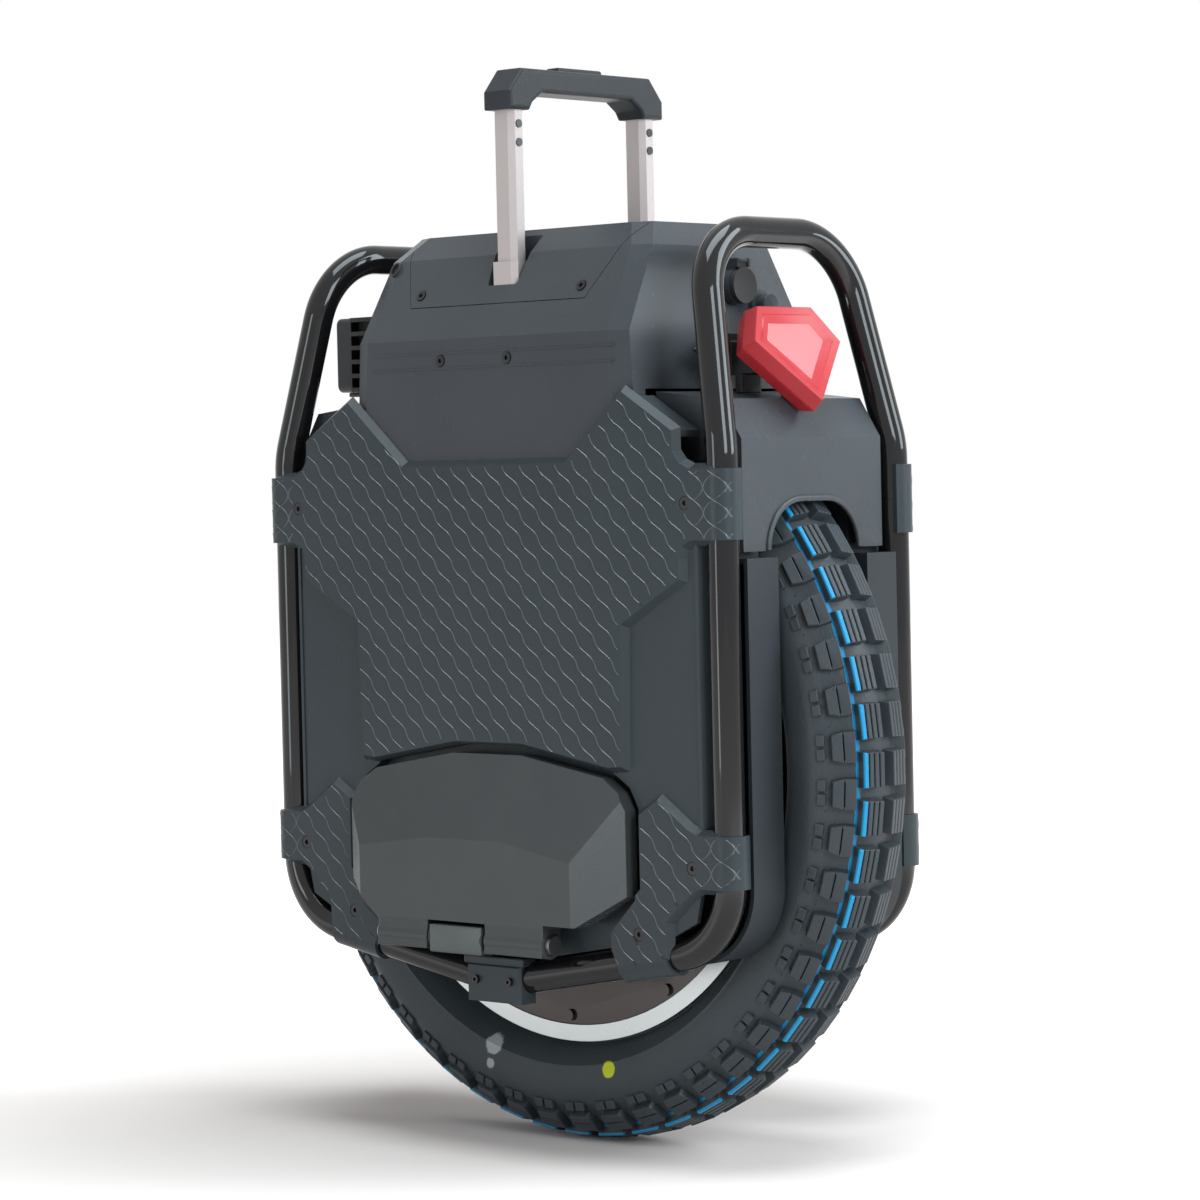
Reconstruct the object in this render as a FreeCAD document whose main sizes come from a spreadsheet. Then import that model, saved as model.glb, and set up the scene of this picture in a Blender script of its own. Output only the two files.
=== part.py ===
"""Electric unicycle: a hub-motor wheel between two battery boxes, inside a tubular cage.

Millimetres. +X is forward, +Y is the rider's left, +Z is up.
The origin is on the ground, under the middle of the wheel.
"""
import FreeCAD
import Part
import math
import os
import Sketcher
from FreeCAD import Placement, Rotation, Vector

# Heights named _rise are above the deck; those named _above and _below are from the tyre's top.
SIZES = {
    # tyre, with its tread blocks in rows
    "tyre_radius": 254, "tyre_section": 66, "tyre_half_width": 38.5, "crown_thickness": 6.6,
    "sidewall": 4.6, "flank_angle": 3,
    "knob_height": 7, "knob_count": 52, "knob_length": 19.5, "centre_groove": 3,
    "centre_row_width": 19.5, "centre_drop": 4.2, "row_gap": 3, "row_step": 2, "shoulder_row_width": 16,
    "shoulder_slope": 46, "lug_reach": 4.2, "lug_height": 5.8,
    "bead_width": 6.7, "inner_tube_slack": 0.8, "inner_tube_radius": 27.8, "inner_tube_wall": 2,
    # rim and hub motor
    "rim_half_width": 24.5, "rim_flange": 11, "flange_wall": 3.5,
    "rim_floor": 6, "rim_drop": 9, "bead_depth": 8, "cover_thickness": 4,
    "cover_bulge": 7, "hub_face": 38, "hub_lip": 3,
    "magnet_thickness": 5, "air_gap": 0.8, "stator_half_width": 15, "stator_depth": 40,
    "stator_slots": 36, "slot_width": 6, "slot_depth": 22, "winding_height": 4,
    "spider_half_width": 5, "axle_radius": 11, "bearing_radius": 26, "bearing_width": 12,
    "shaft_play": 0.05, "fit_gap": 0.3, "cover_screw_count": 12,
    # battery boxes and what hangs on the axle
    "wheel_gap": 5.5, "shell_wall": 3, "shell_half_length": 204, "shell_waist": 188,
    "shell_step": 386, "shell_top": 447, "shell_depth": 29.5, "shell_keel": 104,
    "hanger_thickness": 20, "hanger_half_width": 45, "hanger_rise": 38, "nut_thickness": 9,
    "nut_radius": 17, "bolt_radius": 4, "bolt_head_radius": 6.5, "bolt_head_height": 5,
    "bolt_socket": 3,
    "battery_near": 56, "battery_far": 165, "battery_low": 178, "battery_high": 436,
    "battery_thickness": 29,
    # tubular cage
    "tube_radius": 10, "tube_wall": 2, "tube_x": 194, "tube_y": 84, "hoop_split": 420,
    "hoop_knee_below": 53, "hoop_top_above": 82, "hoop_lean": 27, "hoop_tuck": 17.5, "hoop_bend": 48,
    "knee_bend": 80, "keel_z": 112, "keel_rise": 34.5, "corner_bend": 48, "keel_bend": 60,
    # side panel
    "clamp_wall": 2.5, "clamp_reach": 16, "pad_edge": 30, "neck_inset": 24, "throat_inset": 26.5,
    "neck_height": 11, "neck_step": 3.5, "throat_length": 13, "arm_top_x": 145.5, "arm_gap": 9,
    "arm_slope": 9.5, "arm_side_low": 180, "arm_heel_x": 99, "arm_heel": 153, "arm_toe": 161,
    "bead": 7.5, "bead_side": 6.5, "bead_inset": 16, "pad_depth": 5.2, "panel_wall": 3.3,
    "pad_bevel": 3.5, "clamp_gap": 0.2,
    "upper_clamp_z": 420, "upper_clamp_height": 44, "lower_clamp_z": 199.5,
    "lower_clamp_height": 33, "window_half": 73, "window_low": 447.5, "window_half_top": 123,
    "window_high": 491, "pad_shoulder": 466, "pad_waist_half": 118, "pad_waist": 345.5,
    "pad_foot": 256.5, "arm_top": 236.5, "arm_screw_x": 128, "arm_screw_rise": 17.2,
    "foot_rear": 109, "foot_front": 150, "clamp_screw_inset": 20.5,
    "tub_floor": 3, "tub_depth": 9, "clip_half_length": 24,
    "screw_radius": 1.7, "screw_head_radius": 4, "screw_head_height": 2.2, "boss_radius": 5.5,
    # pedals
    "pedal_half_length": 121, "pedal_flat_half": 30, "corner_far": 20, "corner_near": 6,
    "corner_drop": 9, "side_rise": 34, "heel_rise": 13, "heel_length": 27, "bay_foot_half": 100,
    "pedal_crease": 65, "facet_front": 45, "facet_front_turn": 7.1, "facet_rear": -20,
    "facet_rear_turn": -10.2, "pocket_inset": 6, "plate_inset": 30, "plate_rise": 15,
    "ridge_pitch": 14, "ridge_width": 6, "ridge_height": 1, "pin_head": 3,
    "pedal_top": 261, "pedal_shoulder": 249, "pedal_thickness": 20.5,
    "pedal_gap": 4.5, "pedal_bevel": 11, "tread_thickness": 2.5, "tread_gap": 4,
    "hinge_y": 101.5, "hinge_z": 141, "knuckle_radius": 9, "pin_radius": 4, "hinge_rear": -57,
    "hinge_front": 92, "tongue_rear": -4, "tongue_front": 45, "tongue_gap": 1.5,
    "pedal_open": 80,
    # top casing, lid and deck
    "casing_half_length": 126, "casing_half_width": 91, "casing_knee_rise": 17,
    "casing_knee_length": 121, "casing_brow_rise": 71.5, "casing_brow_length": 116.5,
    "casing_brow_width": 62, "casing_top_rise": 87, "casing_top_length": 104, "casing_top_width": 47,
    "corner_length": 13, "corner_width": 6, "casing_wall": 3, "arch_below": 15, "lid_half": 78,
    "lid_half_top": 103.5, "lid_rise": 39, "seam": 0.5, "deck_clearance": 5, "deck_wall": 3,
    "deck_half_length": 112, "sink_height": 5, "board_half_length": 66, "board_half_width": 46,
    "board_thickness": 2, "lid_screw_x": 72, "lid_screw_rise": 47, "skirt_screw_rise": 3,
    "skirt_screw_front": 40, "skirt_screw_rear": -20, "screw_sink": 1.5, "casing_screw_length": 7,
    "capacitor_radius": 9, "capacitor_height": 28, "capacitor_pitch": 21, "switch_pitch": 14,
    "switch_length": 10, "switch_near": 14, "switch_far": 30, "switch_height": 8,
    # fenders
    "fender_face": 197, "fender_half_width": 68.5, "fender_low": 390, "fender_crease_below": 48,
    "fender_brow_x": 181, "fender_brow_below": 23, "fender_wall": 3, "fender_inner": 127.5,
    "fender_crown_below": 17, "mouth_half_width": 45, "mouth_clearance": 7.7, "mouth_bend": 32,
    # trolley handle
    "handle_y": 63.4, "stem_x": 18, "stem_y": 14, "stem_corner": 3.5, "stem_wall": 1.5,
    "stem_start": 80, "sleeve_wall": 2, "slide_gap": 0.25, "sleeve_gap": 20, "sleeve_rise": 66,
    "notch_rise": 51, "notch_half": 13, "notch_half_top": 18, "notch_back": 51,
    "grip_half_length": 74.5, "grip_depth": 25, "grip_low_rise": 164, "grip_top_rise": 191,
    "grip_thickness": 15.5, "grip_foot": 19.5, "grip_chamfer": 12.5, "grip_round": 3,
    "rivet_radius": 2.7, "rivet_shank": 1.4, "rivet_drop": 9, "rivet_pitch": 12,
    "button_half_length": 21, "button_half_width": 5.5, "button_rise": 3,
    "button_depth": 7, "button_pocket": 12,
    # lamps
    "lamp_top_half": 27.5, "lamp_half_width": 44.5, "lamp_rise": 30, "lamp_wide": 3,
    "lamp_drop": 42, "lamp_taper": 4, "lamp_thickness": 20, "lamp_wall": 2, "lamp_x": -189,
    "lamp_above": 10, "lamp_tilt": 26.5, "diode_radius": 3, "wing_half": 50, "wing_above": 9,
    "wing_x": -141, "wing_height": 11, "bracket_wall": 3, "bracket_half": 15, "lead_radius": 2.2,
    "lead_x": -7, "lead_drop": -14, "lead_reach": 9, "head_rear": 146, "head_front": 199,
    "head_half_width": 32, "head_below": 8, "head_height": 51, "head_bezel": 14, "fin_count": 6,
    "fin_wall": 3, "fin_depth": 7, "glass_radius": 20, "glass_thickness": 4, "bowl_depth": 16,
    "foot_half": 20, "stay_half": 12, "stay_height": 26,
    # charging port and power button
    "port_y": -17, "port_rise": 46, "port_radius": 12, "port_bore": 8, "port_depth": 14,
    "port_face": 126, "cap_thickness": 4, "cap_radius": 11.5, "cap_hinge_above": 16, "cap_knuckle": 1.5,
    "cap_pin": 0.8, "cap_half_arm": 4, "ear_thickness": 2, "power_y": -42,
    "power_rise": 34, "power_radius": 6, "power_knob": 7.5, "power_face": 131, "power_travel": 2,
}

doc = FreeCAD.newDocument("electric_unicycle")
sheet = doc.addObject("Spreadsheet::Sheet", "Sizes")
for row, (alias, number) in enumerate(SIZES.items(), start=1):
    sheet.set(f"A{row}", alias)
    sheet.set(f"B{row}", str(number))
    sheet.setAlias(f"B{row}", alias)
doc.recompute()

nodes = []


def mm(alias):
    """The number in the sheet under that name."""
    return float(sheet.get(alias))


def node(item, label):
    """Count a finished object as a piece of the unicycle."""
    item.Label = label
    nodes.append(item)
    return item


def piece(label, shape):
    """A piece whose shape is worked out below rather than by one primitive."""
    item = doc.addObject("Part::Feature", label)
    item.Shape = shape
    return node(item, label)


def twin(source, label, normal=Vector(0, 1, 0)):
    """The same piece on the other side of the middle plane."""
    item = doc.addObject("Part::Mirroring", label)
    item.Source = source
    item.Normal = normal
    return node(item, label)


def solid(kind, name, **expressions):
    """A primitive whose sizes and place are bound to the sheet."""
    item = doc.addObject(kind, name)
    for path, text in expressions.items():
        item.setExpression(path.replace("__", "."), text)
    return item


def boolean(kind, name, base, tool):
    item = doc.addObject(kind, name)
    item.Base = base
    item.Tool = tool
    return item


def body_sketch(body, role, points):
    """A closed outline on one of the body's planes, each corner bound to the sheet."""
    sketch = body.newObject("Sketcher::SketchObject", body.Name + "_outline")
    plane = next(item for item in body.Origin.OriginFeatures if item.Role == role)
    sketch.AttachmentSupport = (plane, [""])
    sketch.MapMode = "FlatFace"
    places = [[float(sheet.evalExpression(text)) for text in point] for point in points]
    for here, there in zip(places, places[1:] + places[:1]):
        sketch.addGeometry(Part.LineSegment(Vector(*here, 0), Vector(*there, 0)), False)
    for index, point in enumerate(points):
        sketch.addConstraint(Sketcher.Constraint("Coincident", index, 2, (index + 1) % len(points), 1))
        for kind, text, number in zip(("DistanceX", "DistanceY"), point, places[index]):
            at = sketch.addConstraint(Sketcher.Constraint(kind, -1, 1, index, 1, number))
            sketch.setExpression(f"Constraints[{at}]", text)
    return sketch


def turned(name, points):
    """A body of revolution about the wheel's axle; the outline is (across, radius)."""
    body = doc.addObject("PartDesign::Body", name)
    sketch = body_sketch(body, "XY_Plane", [(radius, across) for across, radius in points])
    spin = body.newObject("PartDesign::Revolution", name + "_turn")
    spin.Profile = sketch
    spin.ReferenceAxis = (sketch, ["V_Axis"])
    spin.Angle = 360
    body.setExpression("Placement.Base.z", "Sizes.tyre_radius")
    return body


def grown(points, distance):
    """An outline moved outwards by a distance, with square mitres."""
    area = sum(x0 * z1 - x1 * z0 for (x0, z0), (x1, z1) in zip(points, points[1:] + points[:1]))
    way = distance * math.copysign(1, area)
    result = []
    for before, here, after in zip(points[-1:] + points[:-1], points, points[1:] + points[:1]):
        first = Vector(here[0] - before[0], here[1] - before[1], 0).normalize()
        second = Vector(after[0] - here[0], after[1] - here[1], 0).normalize()
        share = way / (1 + first.dot(second))
        result.append((here[0] + share * (first.y + second.y), here[1] - share * (first.x + second.x)))
    return result


def both_sides(half):
    """A whole outline from the half of it at positive x, listed from top to bottom."""
    return half + [(-x, z) for x, z in reversed(half)]


def outline_wire(points, y):
    corners = [Vector(x, y, z) for x, z in points]
    return Part.makePolygon(corners + corners[:1])


def prism(points, low, high):
    """A solid of an XZ outline between two values of y."""
    return Part.Face(outline_wire(points, low)).extrude(Vector(0, high - low, 0))


def slab(x, y, z):
    """A box from its limits in x, y and z."""
    return Part.makeBox(x[1] - x[0], y[1] - y[0], z[1] - z[0], Vector(x[0], y[0], z[0]))


def rod(radius, start, end):
    """A round bar between two points."""
    return Part.makeCylinder(radius, (end - start).Length, start, end - start)


def rounded(points, radii, closed=False):
    """Straight runs joined by tangent arcs, with a bend radius at each point."""
    ends = []
    for index, (point, radius) in enumerate(zip(points, radii)):
        if radius == 0:
            ends.append((point, None, point))
            continue
        back = (points[index - 1] - point).normalize()
        ahead = (points[(index + 1) % len(points)] - point).normalize()
        half = back.getAngle(ahead) / 2
        reach = radius / math.tan(half)
        middle = point + (back + ahead).normalize() * (radius / math.sin(half) - radius)
        ends.append((point + back * reach, middle, point + ahead * reach))
    edges = []
    for index, (start, middle, end) in enumerate(ends):
        if middle is not None:
            edges.append(Part.Arc(start, middle, end).toShape())
        if closed or index + 1 < len(ends):
            edges.append(Part.LineSegment(end, ends[(index + 1) % len(ends)][0]).toShape())
    return Part.Wire(edges)


def pipe(path, radius):
    """A round bar along a path."""
    start = path.Vertexes[0].Point
    along = path.Edges[0].tangentAt(path.Edges[0].FirstParameter)
    ring = Part.Wire(Part.makeCircle(radius, start, along))
    return path.makePipeShell([ring], True, False)


# Places that several pieces share
axle_z = mm("tyre_radius")
crown_z = 2 * axle_z
deck_z = crown_z + mm("deck_clearance")
casing_top = deck_z + mm("casing_top_rise")
rim_radius = axle_z - mm("tyre_section")
beyond = crown_z
axle = Vector(0, 0, axle_z)
across = Vector(0, 1, 0)
fit_gap = mm("fit_gap")
shell_in = mm("tyre_half_width") + mm("wheel_gap")
shell_floor = shell_in + mm("shell_wall")
shell_out = shell_in + mm("shell_depth")
hanger_out = shell_floor + mm("hanger_thickness")
pad_out = mm("tube_y") + mm("tube_radius") + mm("clamp_wall")
pad_in = pad_out - mm("pad_depth")
base_in = pad_in - mm("panel_wall")
tub_in = base_in - mm("tub_depth")
tub_face = tub_in + mm("tub_floor")
tube_x = mm("tube_x")
tube_y = mm("tube_y")
keel_slope = mm("keel_rise") / tube_x


def keel(x):
    """Height of the lower bar's centre line."""
    return mm("keel_z") + keel_slope * abs(x)


# Tyre: a hollow carcass with two centre rows and two shoulder rows of blocks
def tyre_shape():
    top = mm("tyre_radius")
    base = top - mm("knob_height")
    wide = mm("tyre_half_width")
    cavity = wide - mm("sidewall")
    middle = base - mm("crown_thickness") - cavity
    row_in = mm("centre_groove") / 2
    row_out = row_in + mm("centre_row_width")
    lean = math.radians(mm("shoulder_slope"))
    sink = mm("centre_drop")
    edge_in = (row_out + mm("row_gap"), top - sink - mm("row_step"))
    edge_out = (edge_in[0] + mm("shoulder_row_width") * math.cos(lean),
                edge_in[1] - mm("shoulder_row_width") * math.sin(lean))
    drop = mm("knob_height") * 0.8
    lug = mm("lug_reach")
    lug_height = mm("lug_height")
    foot_out = (edge_out[0] - drop * math.sin(lean) / 2, edge_out[1] - drop * math.cos(lean))
    bead_out = mm("rim_half_width") - mm("flange_wall") - fit_gap
    bead_in = bead_out - mm("bead_width")
    seat = rim_radius - mm("bead_depth") + fit_gap
    lip = rim_radius + 1
    wall = [
        (0, base), (row_in, base), (row_in, top), (row_out, top - sink), (row_out, base - sink),
        (edge_in[0] - 0.8, base - sink - 1), edge_in, edge_out, foot_out,
        (foot_out[0] + 1, foot_out[1] - 1.5), (foot_out[0] + lug, foot_out[1]),
        (foot_out[0] + lug + 1.4, foot_out[1] - lug_height), (wide - 0.3, foot_out[1] - lug_height - 2.6),
    ]
    bulge = [(wide + 0.2, middle + 9), (wide, middle + 3), (wide - 3, lip + 11),
             (bead_out + 0.6, lip + 0.5)]
    heel = [(bead_out, lip), (bead_out, seat), (bead_in, seat), (bead_in + 1.5, lip - 2)]
    meet = math.radians(mm("flank_angle"))
    shoulder = (cavity * math.cos(meet), middle - cavity * math.sin(meet))

    def at(spot, side=1):
        return Vector(0, side * spot[0], axle_z + spot[1])

    def run(spots, side):
        return [Part.LineSegment(at(a, side), at(b, side)).toShape() for a, b in zip(spots, spots[1:])]

    edges = []
    for side in (1, -1):
        edges += run(wall, side)
        edges.append(Part.Arc(at(wall[-1], side), at(bulge[0], side), at(bulge[1], side)).toShape())
        edges.append(Part.Arc(at(bulge[1], side), at(bulge[2], side), at(bulge[3], side)).toShape())
        edges += run([bulge[3]] + heel + [shoulder], side)
    edges.append(Part.Arc(at(shoulder), at((0, middle + cavity)), at(shoulder, -1)).toShape())
    section = Part.Face(Part.Wire(Part.sortEdges(edges)[0]))
    ring = section.revolve(axle, across, 360)

    count = int(mm("knob_count"))
    pitch = 360 / count
    slot = 2 * math.pi * top / count - mm("knob_length")
    reach = 4 * mm("knob_height")
    centre_slot = slab((-slot / 2, slot / 2), (-1, row_out + 1), (0, reach))
    centre_slot.rotate(Vector(), Vector(1, 0, 0), -math.degrees(math.atan2(sink, row_out)))
    centre_slot.translate(Vector(0, 0, base))
    side_slot = slab((-slot / 2, slot / 2), (0, 2 * mm("shoulder_row_width")), (0, reach))
    side_slot.rotate(Vector(), Vector(1, 0, 0), -mm("shoulder_slope"))
    side_slot.translate(Vector(0, edge_in[0] - 1.5, base - sink - 1.2))
    slots = []
    for index in range(count):
        for shape, shift in ((centre_slot, 0.5), (side_slot, 0)):
            for cutter in (shape.copy(), shape.mirror(Vector(), across)):
                cutter.translate(axle)
                cutter.rotate(axle, across, (index + shift) * pitch + 180)
                slots.append(cutter)
    return ring.cut(Part.makeCompound(slots)).Solids[0]


piece("tyre", tyre_shape())

upright = Rotation(Vector(1, 0, 0), 90)
rings = []
for name, inset in (("inner_tube_outside", "0"), ("inner_tube_air", "Sizes.inner_tube_wall")):
    ring = solid(
        "Part::Torus", name,
        Radius1="Sizes.tyre_radius - Sizes.knob_height - Sizes.crown_thickness - Sizes.inner_tube_slack"
                " - Sizes.inner_tube_radius",
        Radius2=f"Sizes.inner_tube_radius - {inset}",
        Placement__Base__z="Sizes.tyre_radius")
    ring.Placement = Placement(axle, upright)
    rings.append(ring)
node(boolean("Part::Cut", "inner_tube", *rings), "inner_tube")

# Rim, magnets and covers turn with the tyre
rim_edge = "(Sizes.tyre_radius - Sizes.tyre_section)"
flange_low = f"{rim_edge} - Sizes.rim_flange"
seat_radius = f"{rim_edge} - Sizes.bead_depth"
bore_radius = f"{seat_radius} - Sizes.rim_drop - Sizes.rim_floor"
cover_seat = "Sizes.rim_half_width - Sizes.cover_thickness - 0.5"
flange_in = "Sizes.rim_half_width - Sizes.flange_wall"
rim_half = [
    (cover_seat, bore_radius), (cover_seat, flange_low), ("Sizes.rim_half_width", flange_low),
    ("Sizes.rim_half_width", rim_edge), (flange_in, rim_edge),
    (flange_in, seat_radius), (f"{flange_in} - 8", seat_radius),
    (f"{flange_in} - 11", f"{seat_radius} - Sizes.rim_drop"),
]
rim_outline = rim_half + [(f"-({y})", radius) for y, radius in reversed(rim_half)]
rim = turned("rim_blank", rim_outline)
screw_ring = rim_radius - mm("rim_flange") - 6
cover_face = mm("rim_half_width") - 0.5
screw_step = 360 / mm("cover_screw_count")


def around_axle(shape):
    """Copies of a shape set out on the motor covers' screw circle."""
    copies = []
    for index in range(int(mm("cover_screw_count"))):
        copy = shape.copy()
        copy.rotate(axle, across, index * screw_step)
        copies.append(copy)
    return copies


spot = axle + Vector(0, 0, screw_ring)
head_spot = spot + Vector(0, cover_face, 0)
tip_spot = spot + Vector(0, cover_face - 3 * mm("cover_thickness"), 0)
hole = rod(mm("screw_radius") + mm("clamp_gap"), tip_spot, head_spot + across)
holes = Part.makeCompound(around_axle(hole) + around_axle(hole.mirror(Vector(), across)))
screw_holes = doc.addObject("Part::Feature", "cover_screw_holes")
screw_holes.Shape = holes
node(boolean("Part::Cut", "wheel_rim", rim, screw_holes), "wheel_rim")

magnet_out = f"{bore_radius} - {fit_gap / 2}"
magnet_in = f"{bore_radius} - Sizes.magnet_thickness"
node(turned("magnet_ring", [
    ("-Sizes.stator_half_width - 1", magnet_in), ("Sizes.stator_half_width + 1", magnet_in),
    ("Sizes.stator_half_width + 1", magnet_out), ("-Sizes.stator_half_width - 1", magnet_out),
]), "magnet_ring")

cover_rim = f"{flange_low} - {fit_gap}"
knee_radius = f"{bore_radius} - Sizes.magnet_thickness - 30"
bearing_in = "Sizes.hub_face - Sizes.hub_lip - Sizes.bearing_width"
crown = "Sizes.rim_half_width - 0.5 + Sizes.cover_bulge"
cover_blank = turned("motor_cover_blank", [
    (cover_seat, cover_rim), (f"{cover_seat} + Sizes.cover_thickness", cover_rim),
    (f"{cover_seat} + Sizes.cover_thickness", f"{bore_radius} - 4"), (crown, knee_radius),
    (f"{crown} + 3", "Sizes.bearing_radius * 2.3"), ("Sizes.hub_face", "Sizes.bearing_radius * 1.7"),
    ("Sizes.hub_face", "Sizes.bearing_radius - 6"),
    ("Sizes.hub_face - Sizes.hub_lip", "Sizes.bearing_radius - 6"),
    ("Sizes.hub_face - Sizes.hub_lip", "Sizes.bearing_radius"), (bearing_in, "Sizes.bearing_radius"),
    (bearing_in, "Sizes.bearing_radius + 8"),
    (f"{crown} + 3 - Sizes.cover_thickness", "Sizes.bearing_radius * 2.3"),
    (f"{crown} - Sizes.cover_thickness", knee_radius), (cover_seat, f"{bore_radius} - 4"),
])
cover_left = node(boolean("Part::Cut", "motor_cover_left", cover_blank, screw_holes), "motor_cover_left")
twin(cover_left, "motor_cover_right")

bearing_left = node(turned("bearing_left", [
    (bearing_in, "Sizes.axle_radius + Sizes.shaft_play"),
    (f"{bearing_in} + Sizes.bearing_width", "Sizes.axle_radius + Sizes.shaft_play"),
    (f"{bearing_in} + Sizes.bearing_width", "Sizes.bearing_radius - Sizes.shaft_play"),
    (bearing_in, "Sizes.bearing_radius - Sizes.shaft_play"),
]), "bearing_left")
twin(bearing_left, "bearing_right")

screw = rod(mm("screw_head_radius"), head_spot, head_spot + across * mm("screw_head_height"))
screw = screw.fuse(rod(mm("screw_radius"), tip_spot + across, head_spot))
cover_screws = around_axle(screw) + around_axle(screw.mirror(Vector(), across))
piece("motor_cover_screws", Part.makeCompound(cover_screws))

# Axle and stator stay still, with the chassis
axle_end = hanger_out + mm("nut_thickness") + 1
spindle = solid("Part::Cylinder", "axle", Radius="Sizes.axle_radius")
spindle.Height = 2 * axle_end
spindle.Placement = Placement(Vector(0, axle_end, axle_z), upright)
node(spindle, "axle")

stator_out = f"{bore_radius} - Sizes.magnet_thickness - Sizes.air_gap"
stator_in = f"{stator_out} - Sizes.stator_depth"
core = turned("stator_blank", [
    ("-Sizes.stator_half_width", stator_in), ("Sizes.stator_half_width", stator_in),
    ("Sizes.stator_half_width", stator_out), ("-Sizes.stator_half_width", stator_out),
])
stator_radius = float(sheet.evalExpression(stator_out))
slot_half = mm("slot_width") / 2
tooth_gap = slab((-slot_half, slot_half), (-mm("stator_half_width") - 1, mm("stator_half_width") + 1),
                 (stator_radius - mm("slot_depth"), stator_radius + 1))
gaps = []
for index in range(int(mm("stator_slots"))):
    gap = tooth_gap.copy()
    gap.translate(axle)
    gap.rotate(axle, across, index * 360 / mm("stator_slots"))
    gaps.append(gap)
slots = doc.addObject("Part::Feature", "stator_slots")
slots.Shape = Part.makeCompound(gaps)
node(boolean("Part::Cut", "stator_core", core, slots), "stator_core")

node(turned("stator_spider", [
    ("-Sizes.spider_half_width", f"Sizes.axle_radius + {fit_gap / 2}"),
    ("Sizes.spider_half_width", f"Sizes.axle_radius + {fit_gap / 2}"),
    ("Sizes.spider_half_width", f"{stator_in} - {fit_gap / 2}"),
    ("-Sizes.spider_half_width", f"{stator_in} - {fit_gap / 2}"),
]), "stator_spider")

winding_outer = stator_radius - mm("slot_depth") / 4
windings = []
for side in (1, -1):
    face = axle + across * side * mm("stator_half_width")
    end = face + across * side * mm("winding_height")
    windings.append(rod(winding_outer, face, end).cut(rod(winding_outer - mm("slot_depth"), face, end)))
piece("stator_windings", Part.makeCompound(windings))

# Pedal hangers: forged plates clamped on the axle, with a tongue for the pedal hinge
hanger = doc.addObject("PartDesign::Body", "hanger_plate")
tongue_low = "Sizes.hinge_z - Sizes.knuckle_radius - 1"
tongue_high = "Sizes.hinge_z + Sizes.knuckle_radius"
hanger_sketch = body_sketch(hanger, "XZ_Plane", [
    ("-Sizes.hanger_half_width * 0.7", "Sizes.tyre_radius + Sizes.hanger_rise"),
    ("-Sizes.hanger_half_width", "Sizes.tyre_radius + Sizes.hanger_rise * 0.2"),
    ("-Sizes.hanger_half_width", "Sizes.tyre_radius - Sizes.hanger_rise"),
    ("Sizes.tongue_rear", f"{tongue_high} + 4"), ("Sizes.tongue_rear", tongue_low),
    ("Sizes.tongue_front", tongue_low),
    ("Sizes.hanger_half_width", "Sizes.tyre_radius - Sizes.hanger_rise"),
    ("Sizes.hanger_half_width", "Sizes.tyre_radius + Sizes.hanger_rise * 0.2"),
    ("Sizes.hanger_half_width * 0.7", "Sizes.tyre_radius + Sizes.hanger_rise"),
])
plate = hanger.newObject("PartDesign::Pad", "hanger_pad")
plate.Profile = hanger_sketch
plate.Reversed = True
plate.setExpression("Length", "Sizes.hanger_thickness")
hanger.setExpression("Placement.Base.y", "Sizes.tyre_half_width + Sizes.wheel_gap + Sizes.shell_wall")
doc.recompute()
hinge = Vector(0, mm("hinge_y"), mm("hinge_z"))
tongue_ends = (mm("tongue_rear"), mm("tongue_front"))
knuckle = mm("knuckle_radius")
tongue = slab(tongue_ends, (hanger_out - 1, hinge.y), (hinge.z - knuckle - 1, hinge.z + knuckle))
tongue_rear, tongue_front = (hinge + Vector(x, 0, 0) for x in tongue_ends)
tongue = tongue.fuse(rod(knuckle, tongue_rear, tongue_front))
tongue = tongue.cut(slab(tongue_ends, (hinge.y, hinge.y + 20), (hinge.z - 20, hinge.z - knuckle)))
pin_hole = rod(mm("pin_radius") + mm("shaft_play"), tongue_rear - Vector(1, 0, 0),
               tongue_front + Vector(1, 0, 0))
bolt_spots = [(side * mm("hanger_half_width") * 0.62, axle_z + rise * mm("hanger_rise"))
              for side in (1, -1) for rise in (0.62, -0.7)]
bolt_hole_radius = mm("bolt_radius") + mm("clamp_gap")
bolt_holes = [rod(bolt_hole_radius, Vector(x, shell_in - 1, z), Vector(x, hanger_out + 1, z))
              for x, z in bolt_spots]
axle_hole = rod(mm("axle_radius") + fit_gap / 2, Vector(0, shell_floor - 1, axle_z),
                Vector(0, hanger_out + 1, axle_z))
forging = hanger.Shape.fuse(tongue).cut([axle_hole, pin_hole] + bolt_holes)
hanger_left = piece("pedal_hanger_left", forging.removeSplitter())
twin(hanger_left, "pedal_hanger_right")
sixths = [math.radians(60 * k) for k in range(7)]


def hanger_bolt(x, z):
    seat = Vector(x, hanger_out, z)
    shank = rod(mm("bolt_radius"), Vector(x, shell_in + fit_gap, z), seat)
    floor = seat + across * mm("bolt_head_height") / 2
    corners = [floor + Vector(math.cos(a), 0, math.sin(a)) * mm("bolt_socket") for a in sixths]
    socket = Part.Face(Part.makePolygon(corners)).extrude(across * mm("bolt_head_height"))
    head = rod(mm("bolt_head_radius"), seat, seat + across * mm("bolt_head_height"))
    return head.cut(socket).fuse(shank)


bolts = [hanger_bolt(x, z) for x, z in bolt_spots]
piece("hanger_bolts", Part.makeCompound(bolts + [bolt.mirror(Vector(), across) for bolt in bolts]))

nut_face = Vector(0, hanger_out, axle_z)
nut_corners = [nut_face + Vector(math.cos(a), 0, math.sin(a)) * mm("nut_radius") for a in sixths]
nut = Part.Face(Part.makePolygon(nut_corners)).extrude(across * mm("nut_thickness"))
nut = nut.cut(rod(mm("axle_radius") + fit_gap / 2, nut_face - across, nut_face + across * 20))
piece("axle_nuts", Part.makeCompound([nut, nut.mirror(Vector(), across)]))

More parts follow.
